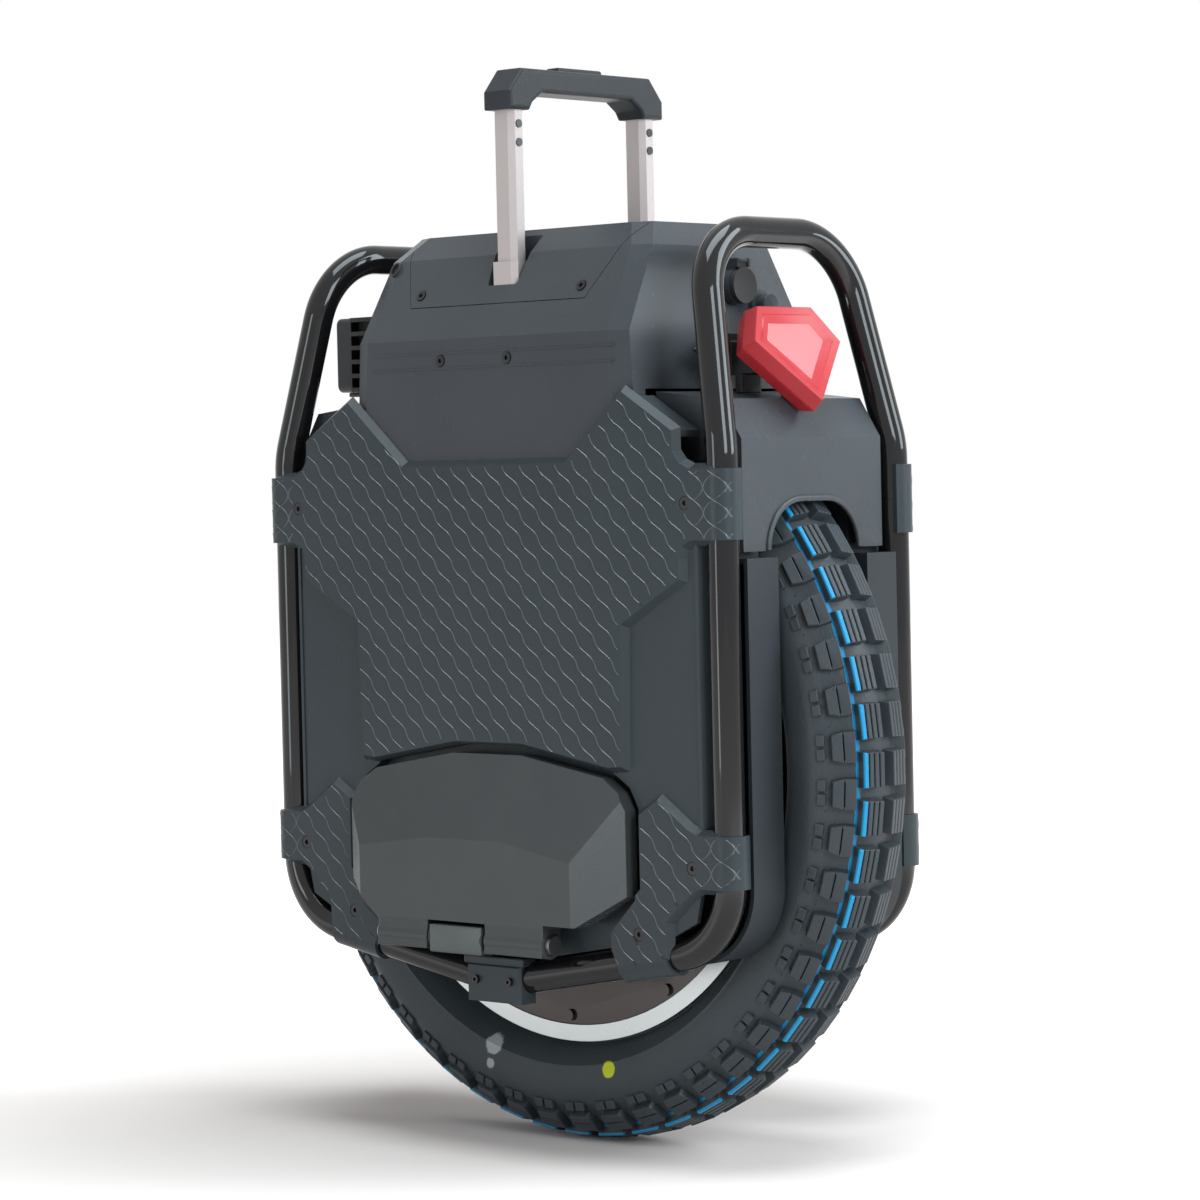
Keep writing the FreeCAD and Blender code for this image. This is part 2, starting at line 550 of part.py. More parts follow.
# Battery boxes: trays beside the wheel, with bosses for the outer panel's screws
shell_corner = mm("corner_bend") + 2
shell_keel_end = mm("shell_keel") + keel_slope * mm("shell_half_length")


def shell_wire(inset, y):
    wall = mm("shell_half_length") - inset
    waist = mm("shell_waist") - inset
    step = mm("shell_step") - inset
    half = [(wall, step), (waist, step), (waist, mm("shell_top") - inset)]
    keel_end = shell_keel_end + inset * math.sqrt(1 + keel_slope ** 2) - keel_slope * inset
    keel_mid = mm("shell_keel") + inset * math.sqrt(1 + keel_slope ** 2)
    spots = list(reversed(half)) + [(wall, keel_end), (0, keel_mid), (-wall, keel_end)]
    spots += [(-x, z) for x, z in half]
    bends = [0, 0, 0, shell_corner - inset, mm("keel_bend"), shell_corner - inset, 0, 0, 0]
    return rounded([Vector(x, y, z) for x, z in spots], bends, closed=True)


clamp_screw_x = tube_x - mm("clamp_screw_inset")
upper_screw = (clamp_screw_x, mm("upper_clamp_z") + 1)
lower_screw = (clamp_screw_x, mm("lower_clamp_z") - 4)
arm_screw = (mm("arm_screw_x"), keel(mm("arm_screw_x")) + mm("arm_screw_rise"))
panel_screw_spots = [(side * x, z) for side in (1, -1) for x, z in (upper_screw, lower_screw, arm_screw)]
sleeve_half_x = mm("stem_x") / 2 + mm("slide_gap") + mm("sleeve_wall")
sleeve_half_y = mm("stem_y") / 2 + mm("slide_gap") + mm("sleeve_wall")
sleeve_hole = slab((-sleeve_half_x - fit_gap, sleeve_half_x + fit_gap),
                   (mm("handle_y") - sleeve_half_y - fit_gap, mm("handle_y") + sleeve_half_y + fit_gap),
                   (mm("shell_top") - 20, casing_top))
tray = Part.Face(shell_wire(0, shell_in)).extrude(across * mm("shell_depth"))
tray = tray.cut(Part.Face(shell_wire(mm("shell_wall"), shell_floor)).extrude(across * mm("shell_depth")))
wrap_radius = mm("tube_radius") + mm("clamp_wall")


def bar_rod(radius, side):
    """A round bar on the straight of the lower tube where the panel's foot wraps it."""
    ends = [Vector(side * x, tube_y, keel(x)) for x in (mm("foot_rear"), mm("foot_front"))]
    return rod(radius, *ends)


wrap_room = [bar_rod(wrap_radius + fit_gap, side) for side in (1, -1)]
bosses = [rod(mm("boss_radius"), Vector(x, shell_floor - 1, z), Vector(x, base_in - fit_gap, z))
          for x, z in panel_screw_spots]
bosses = [boss.cut(wrap_room) for boss in bosses]
boss_holes = [rod(mm("screw_radius") + mm("clamp_gap"), Vector(x, base_in - 15, z), Vector(x, base_in, z))
              for x, z in panel_screw_spots]
axle_window = rod(mm("axle_radius") + 3, Vector(0, shell_in - 1, axle_z),
                  Vector(0, shell_floor + 1, axle_z))
tray = tray.fuse(bosses).cut(boss_holes + bolt_holes + [axle_window, sleeve_hole])
shell_left = piece("inner_shell_left", tray)
twin(shell_left, "inner_shell_right")

pack_y = (shell_floor + fit_gap, shell_floor + fit_gap + mm("battery_thickness"))
pack = slab((mm("battery_near"), mm("battery_far")), pack_y, (mm("battery_low"), mm("battery_high")))
pack = pack.makeFillet(6, [edge for edge in pack.Edges if abs(edge.tangentAt(0).y) > 0.9])
packs = Part.makeCompound([pack, pack.mirror(Vector(), Vector(1, 0, 0))])
battery_left = piece("battery_packs_left", packs)
twin(battery_left, "battery_packs_right")

# Tubular cage: a hoop at each end and a bar round the bottom of each side
lean_x = tube_x - mm("hoop_lean")
lean_y = tube_y - mm("hoop_tuck")
hoop_knee = crown_z - mm("hoop_knee_below")
hoop_top = crown_z + mm("hoop_top_above")
hoop_points = [
    Vector(-tube_x, tube_y, mm("hoop_split")), Vector(-tube_x, tube_y, hoop_knee),
    Vector(-lean_x, lean_y, hoop_top), Vector(-lean_x, -lean_y, hoop_top),
    Vector(-tube_x, -tube_y, hoop_knee), Vector(-tube_x, -tube_y, mm("hoop_split")),
]
hoop_bends = [0, mm("knee_bend"), mm("hoop_bend"), mm("hoop_bend"), mm("knee_bend"), 0]
bar_points = [
    Vector(tube_x, tube_y, mm("hoop_split")), Vector(tube_x, tube_y, keel(tube_x)),
    Vector(0, tube_y, keel(0)), Vector(-tube_x, tube_y, keel(tube_x)),
    Vector(-tube_x, tube_y, mm("hoop_split")),
]
bar_bends = [0, mm("corner_bend"), mm("keel_bend"), mm("corner_bend"), 0]


def swept_tube(name, points, bends):
    """A hollow bent tube: two circles swept along the same path, one cut from the other."""
    path = doc.addObject("Part::Feature", name + "_path")
    path.Shape = rounded(points, bends)
    sweeps = []
    for part, radius in (("skin", "Sizes.tube_radius"), ("bore", "Sizes.tube_radius - Sizes.tube_wall")):
        ring = solid("Part::Circle", f"{name}_{part}_ring", Radius=radius)
        ring.Placement = Placement(points[0], Rotation())
        sweep = doc.addObject("Part::Sweep", f"{name}_{part}")
        sweep.Sections = [ring]
        sweep.Spine = (path, [f"Edge{k + 1}" for k in range(len(path.Shape.Edges))])
        sweep.Solid = True
        sweeps.append(sweep)
    return boolean("Part::Cut", name, *sweeps), path.Shape


rear_hoop, hoop_path = swept_tube("rear_hoop", hoop_points, hoop_bends)
node(rear_hoop, "rear_hoop")
twin(rear_hoop, "front_hoop", Vector(1, 0, 0))
bar_left, bar_path = swept_tube("lower_bar_left", bar_points, bar_bends)
node(bar_left, "lower_bar_left")
twin(bar_left, "lower_bar_right")
clear_radius = mm("tube_radius") + mm("clamp_gap")
tube_clearance = [pipe(bar_path, clear_radius), pipe(hoop_path, clear_radius)]
tube_clearance.append(tube_clearance[1].mirror(Vector(), Vector(1, 0, 0)))

# Side panel: a moulding with a raised tread-plate pad, tube clamps and a bay for the pedal
clamp_high = mm("upper_clamp_z") + mm("upper_clamp_height") / 2
clamp_low = mm("upper_clamp_z") - mm("upper_clamp_height") / 2
low_clamp_high = mm("lower_clamp_z") + mm("lower_clamp_height") / 2
low_clamp_low = mm("lower_clamp_z") - mm("lower_clamp_height") / 2
clamp_end = tube_x - mm("clamp_reach")
neck_x = tube_x - mm("neck_inset")
throat_x = tube_x - mm("throat_inset")
pad_edge = tube_x - mm("pad_edge")
neck_step = mm("neck_step")
half_length = mm("pedal_half_length")
shoulder = mm("pedal_shoulder")
pedal_half = [
    (mm("pedal_flat_half"), mm("pedal_top")), (half_length - mm("corner_far"), shoulder),
    (half_length - mm("corner_near"), shoulder - mm("corner_drop")),
    (half_length, shoulder - mm("corner_far")), (half_length, hinge.z + mm("side_rise")),
]
heel_x = mm("hinge_rear") - mm("heel_length")
pedal_outline = pedal_half + [
    (mm("hinge_front"), hinge.z + knuckle), (mm("hinge_front"), hinge.z), (mm("hinge_rear"), hinge.z),
    (mm("hinge_rear"), hinge.z + mm("heel_rise")), (heel_x, hinge.z + mm("heel_rise")),
] + [(-x, z) for x, z in reversed(pedal_half)]
bay_foot = mm("bay_foot_half")
bay_half = pedal_half + [(bay_foot, hinge.z + mm("heel_rise")), (bay_foot, keel(0) - 2 * mm("tube_radius"))]
bay = both_sides(grown(bay_half, mm("pedal_gap")))
pad_half = [
    (mm("window_half"), mm("window_low")), (mm("window_half_top"), mm("window_high")),
    (pad_edge, mm("pad_shoulder")), (pad_edge, clamp_high + mm("neck_height")),
    (neck_x, clamp_high + neck_step), (clamp_end, clamp_high), (tube_x, clamp_high),
    (tube_x, clamp_low), (clamp_end, clamp_low), (neck_x, clamp_low - neck_step),
    (throat_x, clamp_low - mm("neck_height")),
    (throat_x, clamp_low - mm("neck_height") - mm("throat_length")),
    (mm("pad_waist_half"), mm("pad_waist")), (mm("pad_waist_half") - 2, mm("pad_foot")),
    (half_length - mm("bead_inset"), shoulder + mm("bead_side")),
    (mm("pedal_flat_half"), mm("pedal_top") + mm("bead")),
]
bar_front, bar_rear = mm("foot_front"), mm("foot_rear")
arm_side = half_length + mm("arm_gap")
arm = [
    (mm("arm_top_x"), mm("arm_top")), (arm_side, mm("arm_top") - mm("arm_slope")),
    (arm_side, mm("arm_side_low")), (mm("arm_heel_x"), mm("arm_heel")), (bar_rear, keel(bar_rear)),
    (bar_front, keel(bar_front)), (bar_front + 1, mm("arm_toe")),
    (throat_x, low_clamp_low - 2 * neck_step), (clamp_end, low_clamp_low), (tube_x, low_clamp_low),
    (tube_x, low_clamp_high), (clamp_end, low_clamp_high), (neck_x, low_clamp_high + neck_step),
]


def raised_pad(points):
    """A flat-topped pad with bevelled sides."""
    wires = [outline_wire(grown(points, mm("pad_bevel")), pad_in), outline_wire(points, pad_out)]
    return Part.makeLoft(wires, True, True)


wrap_back = tube_y - mm("tube_radius") * 0.8


def clamp_ring(low, high, side):
    centre = Vector(side * tube_x, tube_y, low)
    ring = rod(wrap_radius, centre, centre + Vector(0, 0, high - low))
    return ring.cut(slab((-beyond, beyond), (0, wrap_back), (low - 1, high + 1)))


def bar_wrap(side):
    ring = bar_rod(wrap_radius, side)
    return ring.cut(slab((-beyond, beyond), (0, wrap_back), (0, axle_z)))


foot_edge = wrap_radius - 1.1
base_half = [
    (clamp_end, mm("window_low") - mm("panel_wall")), (clamp_end, keel(tube_x) + mm("corner_bend") - 8),
    (clamp_end - mm("corner_near"), keel(tube_x) + wrap_radius + 2),
    (bar_front, keel(bar_front) + foot_edge), (0.5, keel(0) + foot_edge),
]
base_outline = both_sides(base_half)
panel = prism(base_outline, base_in, pad_in)
tub = prism(grown(bay, mm("tub_floor")), tub_in, base_in).common(prism(base_outline, tub_in, base_in))
lug_in = mm("window_half_top") + 4
lug_drop = 4
lug_top = mm("window_high") - 2.4
lug = [(lug_in, lug_top), (pad_edge, mm("pad_shoulder")), (pad_edge, mm("pad_shoulder") - lug_drop),
       (lug_in, lug_top - lug_drop)]
additions = [tub, raised_pad(both_sides(pad_half))]
for side in (1, -1):
    additions.append(raised_pad([(side * x, z) for x, z in arm]))
    additions.append(clamp_ring(clamp_low, clamp_high, side))
    additions.append(clamp_ring(low_clamp_low, low_clamp_high, side))
    additions.append(bar_wrap(side))
    additions.append(prism([(side * x, z) for x, z in lug], mm("fender_half_width") + 1.5, pad_in))
    edge = sorted((side * clamp_end, side * (clamp_end - mm("shell_wall"))))
    additions.append(slab(edge, (shell_out + 0.5, base_in), (low_clamp_high + 6, clamp_low - 6)))
bay_cut = prism(bay, tub_face, beyond)
tongue_room = 2 * mm("tongue_gap")
tongue_slot = slab((tongue_ends[0] - tongue_room, tongue_ends[1] + tongue_room), (tub_in - 1, pad_out),
                   (0, hinge.z + knuckle + tongue_room))
head_radius = mm("screw_head_radius")
head_seat = pad_out - mm("screw_head_height") - fit_gap
screw_hole = mm("screw_radius") + mm("clamp_gap")
screw_cuts = []
for x, z in panel_screw_spots:
    screw_cuts.append(rod(head_radius + fit_gap, Vector(x, head_seat, z), Vector(x, pad_out + 5, z)))
    screw_cuts.append(rod(screw_hole, Vector(x, base_in - 1, z), Vector(x, pad_out, z)))
panel = panel.fuse(additions).cut([bay_cut, tongue_slot] + tube_clearance + screw_cuts)
panel = max(panel.Solids, key=lambda part: part.Volume)
panel_left = piece("side_panel_left", panel)
twin(panel_left, "side_panel_right")

clip_half = mm("clip_half_length")
clip = slab((-clip_half, clip_half), (tube_y - 2, pad_out), (keel(0) - wrap_radius, keel(0) + wrap_radius))
clip = clip.makeChamfer(1.5, [edge for edge in clip.Edges if edge.CenterOfMass.y > pad_out - 1])
clip_spots = [(side * clip_half * 0.62, keel(0) + 2) for side in (1, -1)]
clip_holes = [rod(screw_hole, Vector(x, tube_y, z), Vector(x, pad_out + 1, z)) for x, z in clip_spots]
clip = clip.cut([tube_clearance[0]] + clip_holes)
clip_top = max(clip.Solids, key=lambda part: part.Volume)
piece("bar_clips", Part.makeCompound([clip_top, clip_top.mirror(Vector(), across)]))


def screw_shape(length, head=head_radius):
    """A socket-head screw along +Z, its head on top of the origin."""
    up = Vector(0, 0, 1)
    cup = rod(head, Vector(), up * mm("screw_head_height"))
    ring = [Vector(math.cos(a), math.sin(a), 0) * head * 0.45 for a in sixths]
    socket = Part.Face(Part.makePolygon(ring)).extrude(up * mm("screw_head_height"))
    socket.translate(up * mm("screw_head_height") * 0.4)
    return cup.cut(socket).fuse(rod(mm("screw_radius"), up * -length, up * 0.1))


def placed(shape, spot, direction):
    copy = shape.copy()
    copy.Placement = Placement(spot, Rotation(Vector(0, 0, 1), direction))
    return copy


def with_mirrored(shapes):
    """Those shapes and their mirror images on the other side, as one."""
    return Part.makeCompound(shapes + [shape.mirror(Vector(), across) for shape in shapes])


long_screw = screw_shape(pad_out - base_in + 10)
clip_screw = screw_shape(pad_out - tube_y - mm("tube_radius"), head_radius * 0.7)
panel_screws = [placed(long_screw, Vector(x, head_seat, z), across) for x, z in panel_screw_spots]
panel_screws += [placed(clip_screw, Vector(x, pad_out, z), across) for x, z in clip_spots]
piece("panel_screws", with_mirrored(panel_screws))

# Pedals: castings on a hinge pin, the left one folded up and the right one opened out
pedal_in = tub_face + mm("tread_gap") + mm("tread_thickness")
pedal_out = pedal_in + mm("pedal_thickness")
rear_knuckle = (mm("hinge_rear"), tongue_ends[0] - mm("tongue_gap"))
front_knuckle = (tongue_ends[1] + mm("tongue_gap"), mm("hinge_front"))
plate_half = pedal_half + [(half_length - mm("plate_inset"), hinge.z + mm("plate_rise"))]


def along_hinge(x):
    """The point of the hinge's centre line at that x."""
    return hinge + Vector(x, 0, 0)


def pedal_shape():
    shape = prism(pedal_outline, pedal_in, pedal_out)
    drop = mm("pedal_bevel")
    crease = hinge.z + mm("pedal_crease")
    top = crease + 2 * (mm("pedal_top") - crease)
    wedge = Part.Face(Part.makePolygon([
        Vector(-beyond, pedal_out, crease), Vector(-beyond, beyond, crease), Vector(-beyond, beyond, top),
        Vector(-beyond, pedal_out - 2 * drop, top), Vector(-beyond, pedal_out, crease)]))
    wedge = wedge.extrude(Vector(2 * beyond, 0, 0))
    cuts = []
    for x, turn in ((0, 0), (mm("facet_front"), mm("facet_front_turn")),
                    (mm("facet_rear"), mm("facet_rear_turn"))):
        copy = wedge.copy()
        copy.rotate(Vector(x, 0, crease), across, turn)
        cuts.append(copy)
    for x, depth in ((-half_length * 0.67, drop * 0.9), (half_length * 0.9, drop * 0.5)):
        edge = math.copysign(half_length, x)
        low = pedal_out - depth * (edge * 2 - x) / (edge - x)
        cuts.append(Part.Face(Part.makePolygon([
            Vector(x, pedal_out, 0), Vector(x, beyond, 0), Vector(edge * 2, beyond, 0),
            Vector(edge * 2, low, 0), Vector(x, pedal_out, 0)])).extrude(Vector(0, 0, beyond)))
    pocket_depth = mm("pedal_thickness") * 0.45
    pocket = grown(both_sides(plate_half), -mm("pocket_inset"))
    cuts.append(prism(pocket, pedal_in - 1, pedal_in + pocket_depth))
    cuts.append(slab((rear_knuckle[1], front_knuckle[0]), (0, beyond), (0, hinge.z + knuckle + 2)))
    below = slab((-beyond, beyond), (0, beyond), (0, hinge.z + knuckle + 1))
    cuts.append(below.common(prism(pedal_outline, 0, hinge.y - knuckle)))
    cuts.append(slab((-beyond, beyond), (0, beyond), (0, hinge.z)))
    knuckles = [rod(knuckle, along_hinge(a), along_hinge(b)) for a, b in (rear_knuckle, front_knuckle)]
    bore = rod(mm("pin_radius") + mm("shaft_play"), along_hinge(-beyond), along_hinge(beyond))
    return shape.cut(cuts).fuse(knuckles).cut(bore).removeSplitter()


def tread_shape():
    face = pedal_in - mm("tread_thickness")
    shape = prism(grown(both_sides(plate_half), -mm("pocket_inset") / 2), face, pedal_in)
    ridges = []
    pitch = mm("ridge_pitch")
    margin = mm("plate_inset") - mm("ridge_pitch") / 2
    lanes = int((2 * half_length - margin) // pitch)
    for lane in range(lanes):
        x = -half_length + margin + lane * pitch
        ridges.append(slab((x, x + mm("ridge_width")), (face - mm("ridge_height"), face),
                           (hinge.z + 2 * mm("heel_rise"), shoulder - mm("corner_drop"))))
    return shape.fuse(ridges)


def opened(shape):
    """The right-hand pedal, swung out on its hinge."""
    copy = shape.mirror(Vector(), across)
    copy.rotate(Vector(0, -hinge.y, hinge.z), Vector(1, 0, 0), mm("pedal_open"))
    return copy


pedal = pedal_shape()
tread = tread_shape()
piece("pedal_left", pedal)
piece("pedal_right", opened(pedal))
piece("pedal_tread_left", tread)
piece("pedal_tread_right", opened(tread))
pin = rod(mm("pin_radius"), along_hinge(mm("hinge_rear") - 1), along_hinge(mm("hinge_front") + 1))
for end, way in ((mm("hinge_rear") - 0.5, -1), (mm("hinge_front") + 0.5, 1)):
    pin = pin.fuse(rod(mm("pin_radius") + 2, along_hinge(end), along_hinge(end + way * mm("pin_head"))))
piece("pedal_pins", with_mirrored([pin]))

# Top casing: a faceted shell over the controller, with a saddle-shaped lid
casing_knee = deck_z + mm("casing_knee_rise")
casing_brow = deck_z + mm("casing_brow_rise")
casing_levels = [
    (mm("shell_top"), mm("casing_half_length"), mm("casing_half_width")),
    (casing_knee, mm("casing_knee_length"), mm("casing_half_width")),
    (casing_brow, mm("casing_brow_length"), mm("casing_brow_width")),
    (casing_top, mm("casing_top_length"), mm("casing_top_width")),
]


def casing_hull(inset):
    wires = []
    for index, (z, x, y) in enumerate(casing_levels):
        x, y = x - inset, y - inset
        cut_x, cut_y = mm("corner_length"), mm("corner_width")
        level = z - inset if index else z - 2 * inset
        corners = [(x, y - cut_y), (x - cut_x, y), (-x + cut_x, y), (-x, y - cut_y),
                   (-x, -y + cut_y), (-x + cut_x, -y), (x - cut_x, -y), (x, -y + cut_y)]
        wires.append(Part.makePolygon([Vector(a, b, level) for a, b in corners + corners[:1]]))
    return Part.makeLoft(wires, True, True)


hull = casing_hull(0)
shell = hull.cut(casing_hull(mm("casing_wall")))
arch_half = shell_out + fit_gap
shell = shell.cut(slab((-beyond, beyond), (-arch_half, arch_half), (0, crown_z - mm("arch_below"))))
lid_low = deck_z + mm("lid_rise")
lid_outline = [(-mm("lid_half"), lid_low), (mm("lid_half"), lid_low),
               (mm("lid_half_top"), casing_top + 2), (-mm("lid_half_top"), casing_top + 2)]


def casing_share(z):
    """How far up the casing's sloping part that height is, from 0 to 1."""
    return (z - casing_knee) / (casing_brow - casing_knee)


def casing_face(z):
    """Half width of the casing on its sloping flank."""
    return mm("casing_half_width") + casing_share(z) * (mm("casing_brow_width") - mm("casing_half_width"))


def casing_back(z):
    """Half length of the casing between its knee and its brow."""
    return mm("casing_knee_length") + casing_share(z) * (mm("casing_brow_length") - mm("casing_knee_length"))


slope = mm("casing_half_width") - mm("casing_brow_width")
flank = Vector(0, casing_brow - casing_knee, slope).normalize()
lid_screw_z = deck_z + mm("lid_screw_rise")
skirt_screw_z = deck_z + mm("skirt_screw_rise")
sink = mm("screw_sink")
casing_screws = [(Vector(side * mm("lid_screw_x"), casing_face(lid_screw_z), lid_screw_z), flank)
                 for side in (1, -1)]
casing_screws += [(Vector(x, mm("casing_half_width"), skirt_screw_z), across)
                  for x in (mm("skirt_screw_front"), mm("skirt_screw_rear"))]
small_head = head_radius * 0.9
casing_cuts = []
for spot, way in casing_screws:
    seat_room = rod(small_head + fit_gap, spot - way * sink, spot + way * 5)
    shank_room = rod(screw_hole, spot - way * (sink + mm("casing_screw_length") + 3), spot)
    for shape in (seat_room, shank_room):
        casing_cuts += [shape, shape.mirror(Vector(), across)]
port = Vector(0, mm("port_y"), deck_z + mm("port_rise"))
power = Vector(0, mm("power_y"), deck_z + mm("power_rise"))
back_x = -casing_back(port.z)


def fore_aft(radius, spot, start, end):
    """A round bar along X through a spot on the casing's back."""
    return rod(radius, spot + Vector(start, 0, 0), spot + Vector(end, 0, 0))


bezel = fore_aft(mm("power_knob") + 2.5, power, back_x + 1, -mm("power_face") + 8)
casing_cuts.append(fore_aft(mm("port_radius") + fit_gap, port, back_x - 20, back_x + 20))
casing_cuts.append(fore_aft(mm("power_radius") + fit_gap, power, back_x - 20, back_x + 20))
casing = shell.cut(prism(grown(lid_outline, mm("seam")), -beyond, beyond)).fuse(bezel).cut(casing_cuts)
piece("top_casing", max(casing.Solids, key=lambda part: part.Volume))

notch_floor = deck_z + mm("notch_rise")
notch = [(-mm("notch_half"), notch_floor), (mm("notch_half"), notch_floor),
         (mm("notch_half_top"), casing_top + 1), (-mm("notch_half_top"), casing_top + 1)]
wall = mm("casing_wall")
liner = prism(grown(notch, wall), mm("notch_back") - wall, beyond).common(hull)
opening = prism(notch, mm("notch_back"), beyond)
sleeve_holes = [sleeve_hole, sleeve_hole.mirror(Vector(), across)]
lid = shell.common(prism(lid_outline, -beyond, beyond))
lid = lid.fuse([liner, liner.mirror(Vector(), across)])
lid = lid.cut([opening, opening.mirror(Vector(), across)] + sleeve_holes + casing_cuts)
piece("top_lid", max(lid.Solids, key=lambda part: part.Volume))

lid_screw = screw_shape(mm("casing_screw_length"), small_head)
screws = [placed(lid_screw, spot - way * sink, way) for spot, way in casing_screws]
piece("casing_screws", with_mirrored(screws))

# Deck: a folded sheet over the wheel that carries the controller
deck_x = (-mm("deck_half_length"), mm("deck_half_length"))
deck_wall = mm("deck_wall")
deck_top = deck_z + deck_wall
deck = slab(deck_x, (-shell_out, shell_out), (mm("shell_top"), deck_top))
deck = deck.cut(slab((-beyond, beyond), (deck_wall - shell_out, shell_out - deck_wall), (0, deck_z)))
piece("deck_plate", deck.cut(sleeve_holes))
board_x, board_y = mm("board_half_length"), mm("board_half_width")
heat_sink = solid("Part::Box", "heat_sink", Length="2 * Sizes.board_half_length",
                  Width="2 * Sizes.board_half_width", Height="Sizes.sink_height")
heat_sink.Placement.Base = Vector(-board_x, -board_y, deck_top)
node(heat_sink, "heat_sink")
board_z = deck_top + mm("sink_height")
board_top = board_z + mm("board_thickness")
board = slab((-board_x, board_x), (-board_y, board_y), (board_z, board_top))
fittings = []
for index in range(4):
    foot = Vector(board_x * 0.75, (index - 1.5) * mm("capacitor_pitch"), board_z + 1)
    fittings.append(rod(mm("capacitor_radius"), foot, foot + Vector(0, 0, mm("capacitor_height"))))
for index in range(6):
    x = mm("switch_height") - board_x + index * mm("switch_pitch")
    fittings.append(slab((x, x + mm("switch_length")), (-mm("switch_far"), -mm("switch_near")),
                         (board_z + 1, board_top + mm("switch_height"))))
piece("control_board", board.fuse(fittings))

# Fenders: hoods over the wheel at each end
fender_face, fender_inner = mm("fender_face"), mm("fender_inner")
fender_crown = crown_z - mm("fender_crown_below")
fender_brow = crown_z - mm("fender_brow_below")
fender_front = [(-fender_face, crown_z - mm("fender_crease_below")), (-mm("fender_brow_x"), fender_brow)]
fender_side = [(-fender_face, mm("fender_low"))] + fender_front
fender_side += [(-fender_inner, fender_crown), (-fender_inner, mm("fender_low"))]


def fender_roof(x):
    """Height of the fender's sloping roof."""
    share = (abs(x) - fender_inner) / (mm("fender_brow_x") - fender_inner)
    return fender_crown + share * (fender_brow - fender_crown)


under = mm("fender_low") - 20 * mm("fender_wall")
inside = [(-fender_face, under)] + fender_front + [(0, fender_crown + 5), (0, under)]
half = mm("fender_half_width")
hollow = half - mm("fender_wall")
fender = prism(fender_side, -half, half)
fender = fender.cut(prism(grown(inside, -mm("fender_wall")), -hollow, hollow))
mouth = mm("mouth_half_width")
tyre_reach = math.sqrt(mm("tyre_radius") ** 2 - fender_face ** 2)
mouth_top = axle_z + tyre_reach + mm("mouth_clearance")
mouth_corners = [(-mouth, 0), (-mouth, mouth_top), (mouth, mouth_top), (mouth, 0)]
mouth_spots = [Vector(-beyond, y, z) for y, z in mouth_corners]
mouth_wire = rounded(mouth_spots, [0, mm("mouth_bend"), mm("mouth_bend"), 0], closed=True)
fender = fender.cut(Part.Face(mouth_wire).extrude(Vector(beyond - mm("fender_brow_x"), 0, 0)))
shell_room = slab((-mm("shell_waist") - 2, 0), (-half - 1, half + 1), (0, mm("shell_top") + fit_gap))
fender = fender.cut(shell_room)
fender_rear = piece("fender_rear", max(fender.Solids, key=lambda part: part.Volume))
twin(fender_rear, "fender_front", Vector(1, 0, 0))


# Trolley handle: two flat tubes in sleeves, with a moulded grip across the top
def stem_bar(grow, low, high, y):
    """A chamfered rectangular bar that stands at the handle's place."""
    x, half_y, cut = mm("stem_x") / 2 + grow, mm("stem_y") / 2 + grow, mm("stem_corner")
    corners = [(x, half_y - cut), (x - cut, half_y), (cut - x, half_y), (-x, half_y - cut),
               (-x, cut - half_y), (cut - x, -half_y), (x - cut, -half_y), (x, cut - half_y)]
    wire = Part.makePolygon([Vector(a, y + b, low) for a, b in corners + corners[:1]])
    return Part.Face(wire).extrude(Vector(0, 0, high - low))


handle_y = mm("handle_y")
slide = mm("slide_gap")
grip_low = deck_z + mm("grip_low_rise")
grip_top = deck_z + mm("grip_top_rise")
socket_top = grip_low + mm("grip_foot") * 0.6
sleeve_low = axle_z + mm("hanger_rise") + mm("sleeve_gap")
sleeve_top = deck_z + mm("sleeve_rise")
sleeve = stem_bar(slide + mm("sleeve_wall"), sleeve_low, sleeve_top, handle_y)
sleeve = sleeve.cut(stem_bar(slide, sleeve_low - 1, sleeve_top + 1, handle_y))
sleeve_left = piece("handle_sleeve_left", sleeve)
twin(sleeve_left, "handle_sleeve_right")
stem_low = sleeve_low + mm("stem_start")
stem = stem_bar(0, stem_low, socket_top - fit_gap, handle_y)
stem = stem.cut(stem_bar(-mm("stem_wall"), stem_low - 1, socket_top, handle_y))
stem_face = Vector(-mm("stem_x") / 2, handle_y, grip_low - mm("rivet_drop"))
rivet_spots = [stem_face, stem_face - Vector(0, 0, mm("rivet_pitch"))]
through_wall = Vector(mm("stem_wall") + 1, 0, 0)
rivet_holes = [rod(mm("rivet_shank") + 0.1, spot, spot + through_wall) for spot in rivet_spots]
stem_left = piece("handle_tube_left", stem.cut(rivet_holes))
twin(stem_left, "handle_tube_right")
head_rise = Vector(mm("rivet_radius") / 4, 0, 0)
rivet_heads = [rod(mm("rivet_radius"), spot, spot - head_rise) for spot in rivet_spots]
rivets = [head.fuse(rod(mm("rivet_shank"), spot, spot + through_wall))
          for head, spot in zip(rivet_heads, rivet_spots)]
piece("grip_rivets", with_mirrored(rivets))

